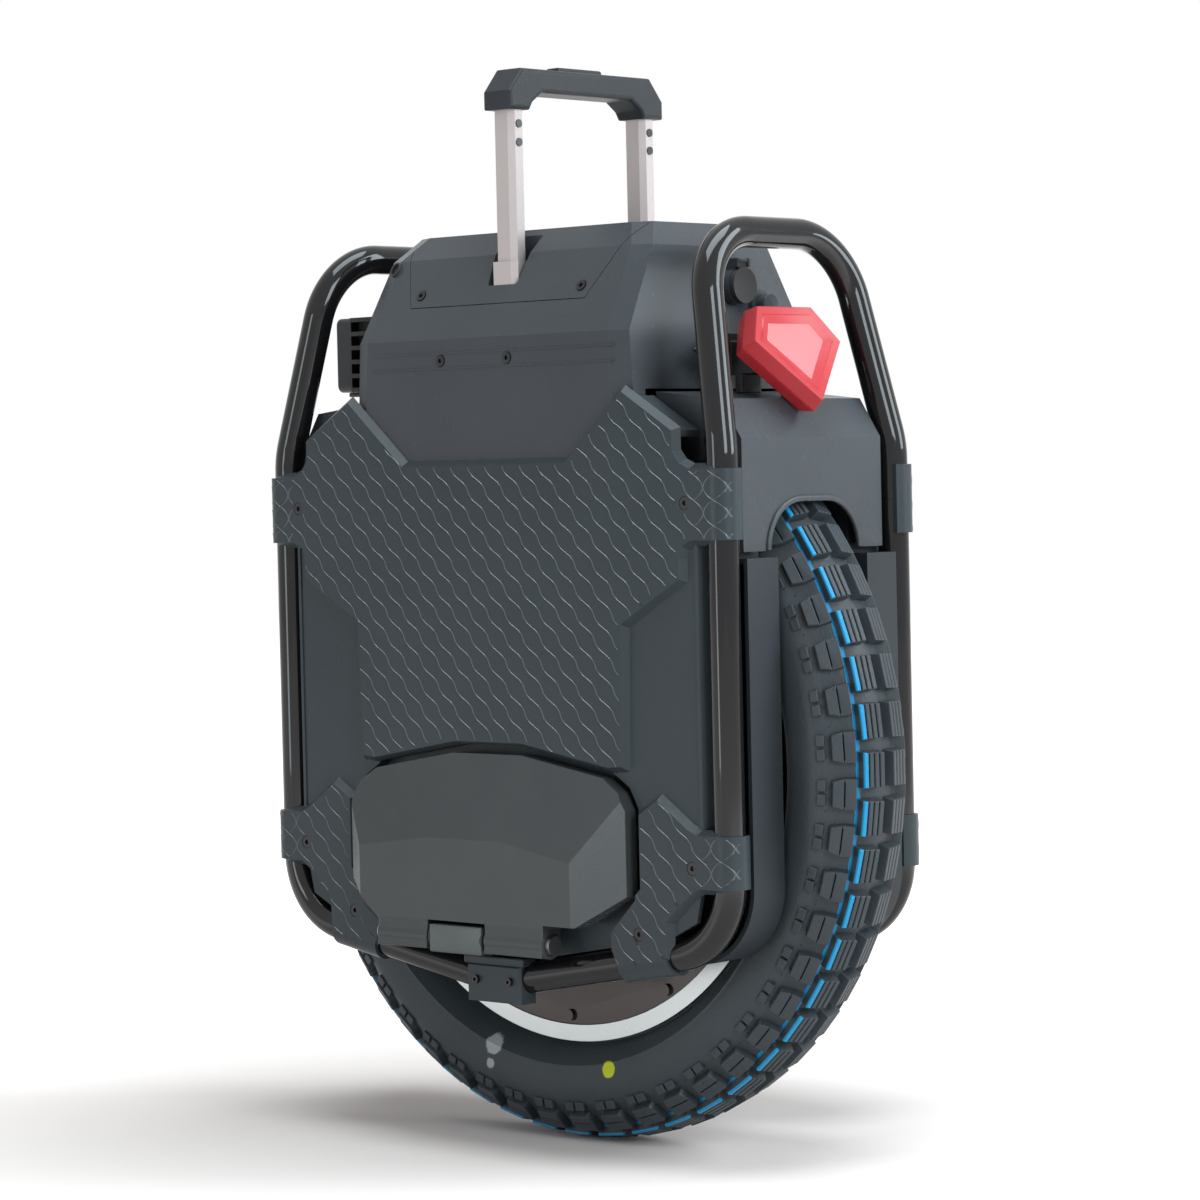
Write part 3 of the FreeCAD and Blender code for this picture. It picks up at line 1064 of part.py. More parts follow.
grip = doc.addObject("PartDesign::Body", "grip_body")
deck_level = "(2 * Sizes.tyre_radius + Sizes.deck_clearance)"
foot_level = f"({deck_level} + Sizes.grip_low_rise)"
top_level = f"({deck_level} + Sizes.grip_top_rise)"
toe = "Sizes.grip_half_length - Sizes.grip_foot"
grip_right = [
    ("Sizes.grip_half_length", foot_level),
    ("Sizes.grip_half_length", f"{top_level} - Sizes.grip_chamfer * 1.2"),
    ("Sizes.grip_half_length - Sizes.grip_chamfer", top_level),
]
grip_inner = [(toe, foot_level), (f"{toe} - 3", f"{foot_level} + 5"),
              (f"{toe} - Sizes.grip_chamfer", f"{top_level} - Sizes.grip_thickness")]
grip_points = grip_right + [(f"-({y})", z) for y, z in reversed(grip_right)]
grip_points += [(f"-({y})", z) for y, z in grip_inner] + list(reversed(grip_inner))
grip_sketch = body_sketch(grip, "YZ_Plane", grip_points)
grip_pad = grip.newObject("PartDesign::Pad", "grip_pad")
grip_pad.Profile = grip_sketch
grip_pad.Midplane = True
grip_pad.setExpression("Length", "Sizes.grip_depth")
doc.recompute()
grip_edges = [f"Edge{k + 1}" for k, edge in enumerate(grip_pad.Shape.Edges)
              if abs(abs(edge.CenterOfMass.x) - mm("grip_depth") / 2) < 0.01]
grip_fillet = grip.newObject("PartDesign::Fillet", "grip_round")
grip_fillet.Base = (grip_pad, grip_edges)
grip_fillet.setExpression("Radius", "Sizes.grip_round")
doc.recompute()
sockets = stem_bar(fit_gap / 2, grip_low - 1, socket_top, handle_y)
button_x, button_y = mm("button_half_width"), mm("button_half_length")
pocket = slab((-button_x - fit_gap, button_x + fit_gap), (-button_y - fit_gap, button_y + fit_gap),
              (grip_top - mm("button_pocket"), grip_top + 1))
piece("handle_grip", grip.Shape.cut([sockets, sockets.mirror(Vector(), across), pocket]))
button = solid("Part::Box", "button_block", Length="2 * Sizes.button_half_width",
               Width="2 * Sizes.button_half_length", Height="Sizes.button_rise + Sizes.button_depth")
button.Placement.Base = Vector(-button_x, -button_y, grip_top - mm("button_depth"))
doc.recompute()
button_round = mm("button_rise") / 2
top_edges = [(k + 1, button_round, button_round) for k, edge in enumerate(button.Shape.Edges)
             if edge.CenterOfMass.z > grip_top + 1]
release = doc.addObject("Part::Fillet", "release_button")
release.Base = button
release.Edges = top_edges
node(release, "release_button")

# Tail lamp: a five-sided translucent case on a black bracket
lamp_half = [(mm("lamp_top_half"), mm("lamp_rise")), (mm("lamp_half_width"), mm("lamp_wide"))]
gem = [lamp_half[0], lamp_half[1], (0, -mm("lamp_drop"))] + [(-x, z) for x, z in reversed(lamp_half)]
lamp_turn = Rotation(Vector(0, 0, 1), 90) * Rotation(Vector(1, 0, 0), mm("lamp_tilt"))
lamp_place = Placement(Vector(mm("lamp_x"), 0, crown_z + mm("lamp_above")), lamp_turn)
thick, lamp_wall = mm("lamp_thickness"), mm("lamp_wall")


def in_lamp(shape):
    copy = shape.copy()
    copy.Placement = lamp_place
    return copy


rim_line = outline_wire(gem, -thick / 2)
front_loft = Part.makeLoft([rim_line, outline_wire(grown(gem, -lamp_wall), 0)], True, True)
lens = front_loft.cut(prism(grown(gem, -2 * lamp_wall), -thick / 2 - 1, -lamp_wall))
piece("tail_lamp_lens", in_lamp(lens))
back = grown(gem, -mm("lamp_taper"))
case = Part.makeLoft([outline_wire(back, -thick), rim_line], True, True)
case = case.cut(prism(grown(back, -lamp_wall), lamp_wall - thick, -thick / 2 + 1))
piece("tail_lamp_case", in_lamp(case))
board_back = lamp_wall - thick
lamp_board = prism(grown(back, -2 * lamp_wall), board_back, board_back + 3)
diodes = []
for x, z in [(0, 14), (-15, 10), (15, 10), (-20, -4), (20, -4), (0, -6), (0, -22)]:
    diodes.append(rod(mm("diode_radius"), Vector(x, board_back + 2, z), Vector(x, board_back + 6, z)))
piece("tail_lamp_board", in_lamp(lamp_board.fuse(diodes)))

wing, wing_x, wing_tall = mm("wing_half"), mm("wing_x"), mm("wing_height")
wing_z = crown_z + mm("wing_above")
wing_half = [(wing, 0), (wing * 0.6, wing_tall), (-wing * 0.6, wing_tall)]
wing_spots = wing_half + [(-y, -z) for y, z in wing_half] + wing_half[:1]
bracket = Part.Face(Part.makePolygon([Vector(wing_x, y, wing_z + z) for y, z in wing_spots]))
bracket = bracket.extrude(Vector(-mm("bracket_wall"), 0, 0))
hold = mm("bracket_half")
lamp_back = in_lamp(slab((-beyond, beyond), (-thick, beyond), (-beyond, beyond)))
arm_bar = slab((mm("lamp_x"), wing_x), (-hold, hold), (wing_z - hold - 1, wing_z + 5)).cut(lamp_back)
stem_block = slab((wing_x - 1, -mm("casing_top_length")), (-hold, hold), (wing_z - 9, wing_z + 9))
leg_x = wing_x - 2 * mm("bracket_wall")
leg = slab((leg_x - 2 * mm("bracket_wall"), leg_x), (-4, hold), (fender_roof(leg_x) + fit_gap, wing_z - 10))
bracket = bracket.fuse([arm_bar, stem_block, leg]).cut(hull)
piece("tail_lamp_bracket", max(bracket.Solids, key=lambda part: part.Volume))
lead_start, lead_bend = (lamp_place.multVec(Vector(mm("lead_x"), -thick - reach, mm("lead_drop")))
                         for reach in (0, mm("lead_reach")))
lead_end = Vector(lead_bend.x, lead_bend.y, fender_roof(lead_bend.x) - mm("fender_wall"))
lead_path = rounded([lead_start, lead_bend, lead_end], [0, 2 * mm("lead_radius"), 0])
piece("tail_lamp_lead", pipe(lead_path, mm("lead_radius")).cut(fender))

# Headlight: a finned housing in front of the casing, on a plate
head_y, head_rear, head_front = mm("head_half_width"), mm("head_rear"), mm("head_front")
head_low = crown_z - mm("head_below")
head_high = head_low + mm("head_height")
bezel_back = head_front - mm("head_bezel")
body_y = head_y - mm("fin_depth")
block = slab((head_rear, bezel_back + 2), (-body_y, body_y), (head_low + 1, head_high - 1))
bezel_block = slab((bezel_back, head_front), (-head_y, head_y), (head_low, head_high))
bezel_corners = [edge for edge in bezel_block.Edges if abs(edge.tangentAt(0).x) > 0.9]
bezel_block = bezel_block.makeFillet(5, bezel_corners)
fin_pitch = (mm("head_height") - mm("fin_wall")) / (mm("fin_count") - 1)
fin_levels = [head_low + k * fin_pitch for k in range(int(mm("fin_count")))]
fins = [slab((head_rear - 2, bezel_back + 1), (-head_y, head_y), (z, z + mm("fin_wall"))) for z in fin_levels]
lens_front = Vector(head_front, 0, (head_low + head_high) / 2)
lens_back = lens_front - Vector(mm("glass_thickness"), 0, 0)
forward = Vector(1, 0, 0)
glass_seat = rod(mm("glass_radius") + fit_gap, lens_back, lens_front + forward * 5)
bowl_start = lens_back - forward * mm("bowl_depth")
bowl = Part.makeCone(6, mm("glass_radius") - 2, mm("bowl_depth"), bowl_start, forward)
piece("headlight_housing", block.fuse([bezel_block] + fins).cut([glass_seat, bowl]).removeSplitter())
glass = rod(mm("glass_radius"), lens_back, lens_front + forward)
piece("headlight_lens", glass.makeFillet(0.8, [glass.Edges[0]]))
foot_low = head_low - mm("bracket_wall")
front_face = casing_back(casing_knee)
foot_plate = slab((front_face, head_front + 2), (-mm("foot_half"), mm("foot_half")), (foot_low, head_low))
foot_stay = slab((front_face, head_rear - 2), (-mm("stay_half"), mm("stay_half")),
                 (head_low - 1, head_low + mm("stay_height")))
piece("headlight_bracket", foot_plate.fuse(foot_stay).cut(hull).removeSplitter())

# Charging port with its hinged cap, and the power button beside it
port_face = -mm("port_face")
sleeve_end = port + forward * port_face
barrel = fore_aft(mm("port_radius"), port, port_face, back_x + 8)
half_arm = mm("cap_half_arm")
ear_in = half_arm + fit_gap
ear_out = ear_in + mm("ear_thickness")
port_top = port.z + mm("port_radius")
cap_knuckle = mm("cap_knuckle")
cap_pivot = Vector(port_face - fit_gap - cap_knuckle, port.y, port.z + mm("cap_hinge_above"))
ear_top = cap_pivot.z + cap_knuckle
lug = slab((port_face, back_x - 1.2), (port.y - ear_out, port.y + ear_out), (port_top - 2, ear_top))
ears = [slab((cap_pivot.x - cap_knuckle, port_face + 1), (port.y + low, port.y + high), (port_top, ear_top))
        for low, high in ((-ear_out, -ear_in), (ear_in, ear_out))]
cap_pin = rod(mm("cap_pin"), cap_pivot - across * ear_out, cap_pivot + across * ear_out)
socket_bore = rod(mm("port_bore"), sleeve_end, sleeve_end + forward * mm("port_depth"))
piece("charge_socket", barrel.fuse(ears + [lug, cap_pin]).cut(socket_bore))
cap_back = sleeve_end - forward * fit_gap
cap = rod(mm("cap_radius"), cap_back, cap_back - forward * mm("cap_thickness"))
strap = slab((cap_back.x - mm("cap_thickness") / 2, cap_back.x), (port.y - half_arm, port.y + half_arm),
             (port.z, cap_pivot.z))
hinge_barrel = rod(cap_knuckle, cap_pivot - across * half_arm, cap_pivot + across * half_arm)
cap_bore = rod(mm("cap_pin") + mm("shaft_play"), cap_pivot - across * ear_in, cap_pivot + across * ear_in)
piece("charge_cap", cap.fuse([strap, hinge_barrel]).cut(cap_bore))
knob_face = -mm("power_face")
knob = fore_aft(mm("power_knob"), power, knob_face, knob_face + 7 - mm("power_travel"))
stalk = fore_aft(mm("power_radius"), power, knob_face + 2, back_x + 6)
piece("power_button", knob.fuse(stalk))

doc.recompute()
faults = [item.Label for item in doc.Objects if "Invalid" in item.State or "Error" in item.State]
for item in nodes:
    if item.Shape.isNull() or not item.Shape.isValid() or not item.Shape.Solids:
        faults.append(item.Label)
if faults:
    raise RuntimeError("These objects failed: " + ", ".join(sorted(set(faults))))

os.makedirs("parts", exist_ok=True)
for item in nodes:
    item.Shape.exportStep(os.path.join("parts", item.Label + ".step"))
print(f"{len(nodes)} pieces written")
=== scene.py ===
import math
import bpy
from mathutils import Matrix, Vector


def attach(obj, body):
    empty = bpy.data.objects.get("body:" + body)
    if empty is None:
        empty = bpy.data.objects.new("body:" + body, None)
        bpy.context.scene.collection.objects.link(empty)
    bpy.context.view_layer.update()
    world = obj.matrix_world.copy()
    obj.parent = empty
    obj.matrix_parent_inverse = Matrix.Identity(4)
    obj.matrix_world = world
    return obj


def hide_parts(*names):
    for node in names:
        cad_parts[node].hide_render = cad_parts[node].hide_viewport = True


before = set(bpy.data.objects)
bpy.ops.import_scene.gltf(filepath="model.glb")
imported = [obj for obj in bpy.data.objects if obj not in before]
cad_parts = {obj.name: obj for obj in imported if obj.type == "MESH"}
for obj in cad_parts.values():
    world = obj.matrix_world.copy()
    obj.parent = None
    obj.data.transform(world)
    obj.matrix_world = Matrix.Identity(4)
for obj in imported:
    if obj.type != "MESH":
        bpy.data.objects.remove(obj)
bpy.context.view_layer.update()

# Tyre: black rubber, moulded in one piece round a fabric carcass, with four rows of
# slitted tread blocks, small lugs at their ends and the hairs that the mould's vents leave.
# A blue line is painted along the left middle row, and three spots on the left wall.
axle_up = 254
axle = Vector((0, 0, axle_up / 1000))
weld = 0.00001


def alone(obj):
    """Make an object the only one selected, and the active one."""
    if bpy.context.object and bpy.context.object.mode != "OBJECT":
        bpy.ops.object.mode_set(mode="OBJECT")
    bpy.ops.object.select_all(action="DESELECT")
    obj.select_set(True)
    bpy.context.view_layer.objects.active = obj


def opened(obj):
    """Open an object in edit mode, with its whole mesh selected."""
    alone(obj)
    bpy.ops.object.mode_set(mode="EDIT")
    bpy.ops.mesh.select_all(action="SELECT")


def traced(name, points):
    """A line drawn from point to point, ready to be spun or pulled; its start is a merged plane."""
    bpy.ops.object.select_all(action="DESELECT")
    bpy.ops.mesh.primitive_plane_add(size=0.001, location=points[0])
    line = bpy.context.object
    line.name = name
    bpy.ops.object.transform_apply()
    bpy.ops.object.mode_set(mode="EDIT")
    bpy.ops.mesh.select_mode(type="VERT")
    bpy.ops.mesh.select_all(action="SELECT")
    bpy.ops.mesh.merge(type="CENTER")
    for here, there in zip(points, points[1:]):
        bpy.ops.mesh.extrude_vertices_move(TRANSFORM_OT_translate={"value": there - here})
    bpy.ops.object.mode_set(mode="OBJECT")
    return line


def spun(name, profile, steps):
    """A ring about the axle; the profile is (across, radius) in millimetres."""
    points = [axle + Vector((0, across, radius)) / 1000 for across, radius in profile]
    ring = traced(name, points)
    opened(ring)
    bpy.ops.mesh.spin(steps=steps, angle=math.tau, center=axle, axis=(0, 1, 0),
                      use_auto_merge=True)
    bpy.ops.mesh.select_all(action="SELECT")
    bpy.ops.mesh.remove_doubles(threshold=weld)
    bpy.ops.mesh.normals_make_consistent(inside=False)
    bpy.ops.object.mode_set(mode="OBJECT")
    return ring


carcass_steps = 156
carcass_outside = [
    (0, 247), (21, 242.8), (22.5, 241.6), (33.6, 230.1), (36.6, 227.3), (38, 224), (38.6, 219.5),
    (38.7, 215.5), (38.5, 209.5), (37.6, 204.6), (37.2, 203.2), (37.4, 202.2), (35.5, 200),
    (31.6, 195.4), (27, 192.2), (21.3, 189.5), (20.7, 189), (20.7, 180.3),
]
carcass_inside = [
    (14, 180.3), (15.5, 187), (33.8, 204.7), (33.2, 213.5), (30.4, 221.5), (24, 230.4),
    (13, 237.8), (0, 240.4),
]
carcass_half = carcass_outside + carcass_inside
carcass = spun("carcass", carcass_half + [(-y, r) for y, r in reversed(carcass_half)],
               carcass_steps)


def block(name, limits):
    """A plain block from its limits in x, y and z, in millimetres."""
    bpy.ops.object.select_all(action="DESELECT")
    centre = Vector([(low + high) / 2000 for low, high in limits])
    size = Vector([(high - low) / 1000 for low, high in limits])
    bpy.ops.mesh.primitive_cube_add(size=1, location=centre, scale=size)
    made = bpy.context.object
    made.name = name
    bpy.ops.object.transform_apply()
    return made


def pick(obj, test):
    """Select the faces that pass a test on their place or normal, in edit mode."""
    alone(obj)
    bpy.ops.object.mode_set(mode="EDIT")
    bpy.ops.mesh.select_mode(type="FACE")
    bpy.ops.mesh.select_all(action="DESELECT")
    bpy.ops.object.mode_set(mode="OBJECT")
    for face in obj.data.polygons:
        face.select = test(face)
    bpy.ops.object.mode_set(mode="EDIT")


def on_top(face):
    """Whether a face looks up."""
    return face.normal.z > 0.9


def applied(obj, kind, **settings):
    """Add a modifier with those settings and apply it."""
    alone(obj)
    modifier = obj.modifiers.new(kind.lower(), kind)
    for setting, value in settings.items():
        setattr(modifier, setting, value)
    bpy.ops.object.modifier_apply(modifier=modifier.name)


def rounded(obj, width, segments):
    """Round over the sharp edges of a new piece, as its mould or die leaves them."""
    applied(obj, "BEVEL", width=width, segments=segments, limit_method="ANGLE",
            angle_limit=math.radians(40))


def smoothed(obj, degrees):
    """Shade a piece smooth, apart from edges sharper than an angle."""
    alone(obj)
    bpy.ops.object.shade_smooth_by_angle(angle=math.radians(degrees))


block_count = 52
half_pitch = 180 / block_count
slit_width, slit_depth = 0.9, 3
top_share = 0.93
block_edge = 0.0005


def slit_block(name, limits, slits):
    """A tread block with draught on its sides and thin slits along its top."""
    made = block(name, limits)
    pick(made, on_top)
    bpy.ops.transform.resize(value=(top_share, top_share, 1),
                             center_override=made.data.polygons[0].center)
    for slit in slits:
        for side in (-0.5, 0.5):
            bpy.ops.mesh.select_all(action="SELECT")
            bpy.ops.mesh.bisect(plane_co=(0, (slit + side * slit_width) / 1000, 0),
                                plane_no=(0, 1, 0))
    pick(made, lambda face: on_top(face) and any(
        abs(face.center.y * 1000 - slit) < slit_width / 2 for slit in slits))
    bpy.ops.mesh.extrude_region_move(TRANSFORM_OT_translate={"value": (0, 0, -slit_depth / 1000)})
    bpy.ops.object.mode_set(mode="OBJECT")
    rounded(made, block_edge, 1)
    return made


def turned_about(obj, degrees, axis, centre):
    """Turn a whole mesh about a line along X, Y or Z through a point."""
    opened(obj)
    bpy.ops.transform.rotate(value=math.radians(degrees), orient_axis=axis, orient_type="GLOBAL",
                             center_override=centre)
    bpy.ops.object.mode_set(mode="OBJECT")


def on_tread(obj, side, lean, across, radius, along=0):
    """Lean a piece over, set it that far across and from the axle, and turn it along the tread."""
    turned_about(obj, lean * side, "X", (0, 0, 0))
    opened(obj)
    bpy.ops.transform.translate(value=Vector((0, side * across, axle_up + radius)) / 1000)
    bpy.ops.object.mode_set(mode="OBJECT")
    if along:
        turned_about(obj, along, "Y", axle)


def joined(name, parts):
    """One mesh out of several."""
    alone(parts[0])
    for part in parts[1:]:
        part.select_set(True)
    bpy.ops.object.join()
    bpy.context.object.name = name
    return bpy.context.object


def round_axle(obj, count):
    """Copies of a mesh set out evenly round the axle, joined into it."""
    turn = Matrix.Rotation(math.tau / count, 4, "Y")
    bpy.ops.object.select_all(action="DESELECT")
    bpy.ops.object.empty_add()
    step = bpy.context.object
    step.matrix_world = Matrix.Translation(axle) @ turn @ Matrix.Translation(-axle)
    bpy.context.view_layer.update()
    applied(obj, "ARRAY", count=count, use_relative_offset=False, use_object_offset=True,
            offset_object=step)
    bpy.data.objects.remove(step)


middle_size, middle_slits = ((-11.6, 11.6), (-8.6, 8.6), (-9, 0)), (-4.2, 0, 4.2)
shoulder_size, shoulder_slits = ((-10.2, 10.2), (-8, 8), (-8, 0)), (0,)
shoulder_taper = 0.82
lug_places, lug_half_length = (-4.4, 4.4), 3.6
tread = []
for side in (1, -1):
    middle = slit_block("middle_block", middle_size, middle_slits)
    on_tread(middle, side, lean=12.2, across=12.4, radius=252.05)
    shoulder = slit_block("shoulder_block", shoulder_size, shoulder_slits)
    pick(shoulder, lambda face: face.normal.y * side > 0.6)
    bpy.ops.transform.resize(value=(shoulder_taper, 1, 1), center_override=(0, 0, 0))
    on_tread(shoulder, side, lean=46, across=29.5, radius=241.9, along=half_pitch)
    tread += [middle, shoulder]
    for x in lug_places:
        lug = block("side_lug", ((x - lug_half_length, x + lug_half_length), (-2.9, 2.9), (-3, 0)))
        rounded(lug, block_edge, 1)
        on_tread(lug, side, lean=76, across=37.9, radius=229.4, along=half_pitch)
        tread.append(lug)
tread = joined("tread", tread)
round_axle(tread, block_count)

hair_count, hair_radius = 24, 0.00035
hairs = []
for index in range(hair_count):
    bpy.ops.object.select_all(action="DESELECT")
    bpy.ops.mesh.primitive_cone_add(vertices=4, radius1=hair_radius,
                                    depth=0.0042 + 0.0004 * (index % 5), end_fill_type="NOTHING")
    hair = bpy.context.object
    bpy.ops.object.transform_apply()
    on_tread(hair, 1 if index % 2 else -1, lean=40 + 9 * (index % 4), across=33 + index % 3,
             radius=238 - 3 * (index % 3), along=(index * 7.3) % (8 * half_pitch))
    hairs.append(hair)
hairs = joined("hairs", hairs)
round_axle(hairs, block_count // 4)

tyre = joined("tyre_rubber", [carcass, tread, hairs])
smoothed(tyre, 30)


def node_of(tree, kind, **values):
    """A shader node with its properties and sockets set."""
    made = tree.nodes.new(kind)
    for name, value in values.items():
        if name in made.inputs:
            made.inputs[name].default_value = value
        else:
            setattr(made, name, value)
    return made


def maths(tree, operation, *given):
    """A sum in a shader; each value given is a number or another node's output."""
    made = node_of(tree, "ShaderNodeMath", operation=operation)
    for socket, value in zip(made.inputs, given):
        if isinstance(value, bpy.types.NodeSocket):
            tree.links.new(value, socket)
        else:
            socket.default_value = value
    return made.outputs[0]


def grain_group():
    """Cloudy tone, fine grain and faint scuffs that a handled surface has."""
    group = bpy.data.node_groups.new("surface_grain", "ShaderNodeTree")
    for name, kind in (("Colour", "Color"), ("Tint", "Color"), ("Roughness", "Float"),
                       ("Spread", "Float"), ("Grain", "Float"), ("Depth", "Float")):
        group.interface.new_socket(name, in_out="INPUT", socket_type="NodeSocket" + kind)
    for name, kind in (("Colour", "Color"), ("Roughness", "Float"), ("Normal", "Vector")):
        group.interface.new_socket(name, in_out="OUTPUT", socket_type="NodeSocket" + kind)
    given = group.nodes.new("NodeGroupInput")
    place = group.nodes.new("ShaderNodeTexCoord")
    clouds = node_of(group, "ShaderNodeTexNoise", Scale=14.0, Detail=5.0, Roughness=0.6)
    fine = node_of(group, "ShaderNodeTexNoise", Detail=2.0, Roughness=0.6)
    mix = node_of(group, "ShaderNodeMix", data_type="RGBA")
    bump = node_of(group, "ShaderNodeBump", Distance=0.001)
    out = group.nodes.new("NodeGroupOutput")
    link = group.links.new
    link(place.outputs["Object"], clouds.inputs["Vector"])
    link(place.outputs["Object"], fine.inputs["Vector"])
    link(given.outputs["Grain"], fine.inputs["Scale"])
    link(clouds.outputs["Fac"], mix.inputs["Factor"])
    link(given.outputs["Colour"], mix.inputs["A"])
    link(given.outputs["Tint"], mix.inputs["B"])
    swing = maths(group, "SUBTRACT", clouds.outputs["Fac"], 0.5)
    roughness = maths(group, "MULTIPLY_ADD", swing, given.outputs["Spread"],
                      given.outputs["Roughness"])
    link(fine.outputs["Fac"], bump.inputs["Height"])
    link(given.outputs["Depth"], bump.inputs["Strength"])
    link(mix.outputs["Result"], out.inputs["Colour"])
    link(roughness, out.inputs["Roughness"])
    link(bump.outputs["Normal"], out.inputs["Normal"])
    return group


grain = grain_group()


def finish(name, colour, tint, roughness, spread=0.15, grain_scale=900.0, depth=0.12,
           **shader_values):
    """A material with the shared grain; the other values go on the shader itself."""
    made = bpy.data.materials.new(name)
    made.use_nodes = True
    tree = made.node_tree
    shader = tree.nodes["Principled BSDF"]
    for socket, value in shader_values.items():
        shader.inputs[socket.replace("_", " ")].default_value = value
    surface = node_of(tree, "ShaderNodeGroup", node_tree=grain)
    for socket, value in (("Colour", (*colour, 1)), ("Tint", (*tint, 1)), ("Roughness", roughness),
                          ("Spread", spread), ("Grain", grain_scale), ("Depth", depth)):
        surface.inputs[socket].default_value = value
    tree.links.new(surface.outputs["Colour"], shader.inputs["Base Color"])
    tree.links.new(surface.outputs["Roughness"], shader.inputs["Roughness"])
    tree.links.new(surface.outputs["Normal"], shader.inputs["Normal"])
    return made


def step_of(tree, value, low, high):
    """A smooth step from 1 at the low limit to 0 at the high one."""
    made = node_of(tree, "ShaderNodeMapRange", interpolation_type="SMOOTHSTEP")
    for name, number in (("From Min", low), ("From Max", high), ("To Min", 1.0), ("To Max", 0.0)):
        made.inputs[name].default_value = number
    tree.links.new(value, made.inputs["Value"])
    return made.outputs["Result"]


def tinted(tree, base, colour, mask):
    """A colour laid over another where the mask is 1."""
    made = node_of(tree, "ShaderNodeMix", data_type="RGBA")
    tree.links.new(base, made.inputs["A"])
    made.inputs["B"].default_value = (*colour, 1)
    tree.links.new(mask, made.inputs["Factor"])
    return made.outputs["Result"]


def span(tree, one, other):
    """How far a point lies from a centre, from its distances along two axes."""
    return maths(tree, "SQRT", maths(tree, "ADD", maths(tree, "MULTIPLY", one, one),
                                     maths(tree, "MULTIPLY", other, other)))


tyre_paint = finish("tyre_rubber", (0.03, 0.038, 0.043), (0.052, 0.061, 0.069), roughness=0.4,
                    spread=0.3, grain_scale=450.0, depth=0.25, Specular_IOR_Level=0.2)
tree = tyre_paint.node_tree
place = tree.nodes.new("ShaderNodeTexCoord")
spot_of = tree.nodes.new("ShaderNodeSeparateXYZ")
tree.links.new(place.outputs["Object"], spot_of.inputs[0])
rough_edge = node_of(tree, "ShaderNodeTexNoise", Scale=260.0, Detail=3.0)
tree.links.new(place.outputs["Object"], rough_edge.inputs["Vector"])
ragged = 0.0008
wobble = maths(tree, "MULTIPLY_ADD", rough_edge.outputs["Fac"], 2 * ragged, -ragged)
radius = span(tree, spot_of.outputs["X"], maths(tree, "SUBTRACT", spot_of.outputs["Z"], axle.z))


def painted_line(middle, half_width, side, limit):
    """A painted ring on the tread, on one side of a radius."""
    off = maths(tree, "ABSOLUTE", maths(tree, "SUBTRACT", spot_of.outputs["Y"], middle))
    line = step_of(tree, maths(tree, "ADD", off, wobble), half_width * 0.85, half_width * 1.15)
    return maths(tree, "MULTIPLY", line, maths(tree, side, radius, limit))


block_tops, floor_top, floor_foot = 0.249, 0.2447, 0.238
line_blue, spot_yellow, spot_grey = (0.012, 0.24, 0.46), (0.5, 0.55, 0.02), (0.34, 0.36, 0.37)
on_blocks = painted_line(0.0189, 0.0016, "GREATER_THAN", block_tops)
on_floor = maths(tree, "MULTIPLY", painted_line(0.0183, 0.0018, "LESS_THAN", floor_top),
                 maths(tree, "GREATER_THAN", radius, floor_foot))
blue = maths(tree, "MAXIMUM", on_blocks, on_floor)
colour = tinted(tree, tree.nodes["Group"].outputs["Colour"], line_blue, blue)
left_wall = maths(tree, "GREATER_THAN", spot_of.outputs["Y"], 0.02)
for x, z, size, paint_colour, wear in ((-0.0458, 0.0526, 0.0053, spot_yellow, 0.0),
                                       (0.0587, 0.0605, 0.0075, spot_grey, 0.002),
                                       (0.0609, 0.0475, 0.0042, spot_grey, 0.002)):
    gap = span(tree, maths(tree, "SUBTRACT", spot_of.outputs["X"], x),
               maths(tree, "SUBTRACT", spot_of.outputs["Z"], z))
    worn = maths(tree, "MULTIPLY_ADD", rough_edge.outputs["Fac"], wear, gap)
    spot = step_of(tree, maths(tree, "ADD", worn, wobble), size * 0.9, size * 1.15)
    colour = tinted(tree, colour, paint_colour, maths(tree, "MULTIPLY", spot, left_wall))
tree.links.new(colour, tree.nodes["Principled BSDF"].inputs["Base Color"])
tyre.data.materials.append(tyre_paint)
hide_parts("tyre")
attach(tyre, "wheel")

# Inner tube: soft butyl rubber, moulded as a closed ring, that holds the air in the tyre.
# It lies between the tyre and the rim, so it shows only when the part is cut open.
tube_rubber = finish("tube_rubber", (0.012, 0.012, 0.013), (0.02, 0.02, 0.021), roughness=0.6)


def paint(material, *nodes):
    """Give plain solids that are hardly seen their finish."""
    for node in nodes:
        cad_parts[node].data.materials.clear()
        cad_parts[node].data.materials.append(material)


paint(tube_rubber, "inner_tube")

# Rim: a cast and turned aluminium ring with a bright lip on each side.
# The motor covers screw to it and the tyre's beads sit in it.
rim_alloy = finish("rim_alloy", (0.46, 0.49, 0.49), (0.55, 0.58, 0.58), roughness=0.3,
                   spread=0.15, grain_scale=1500.0, depth=0.05, Metallic=1.0)


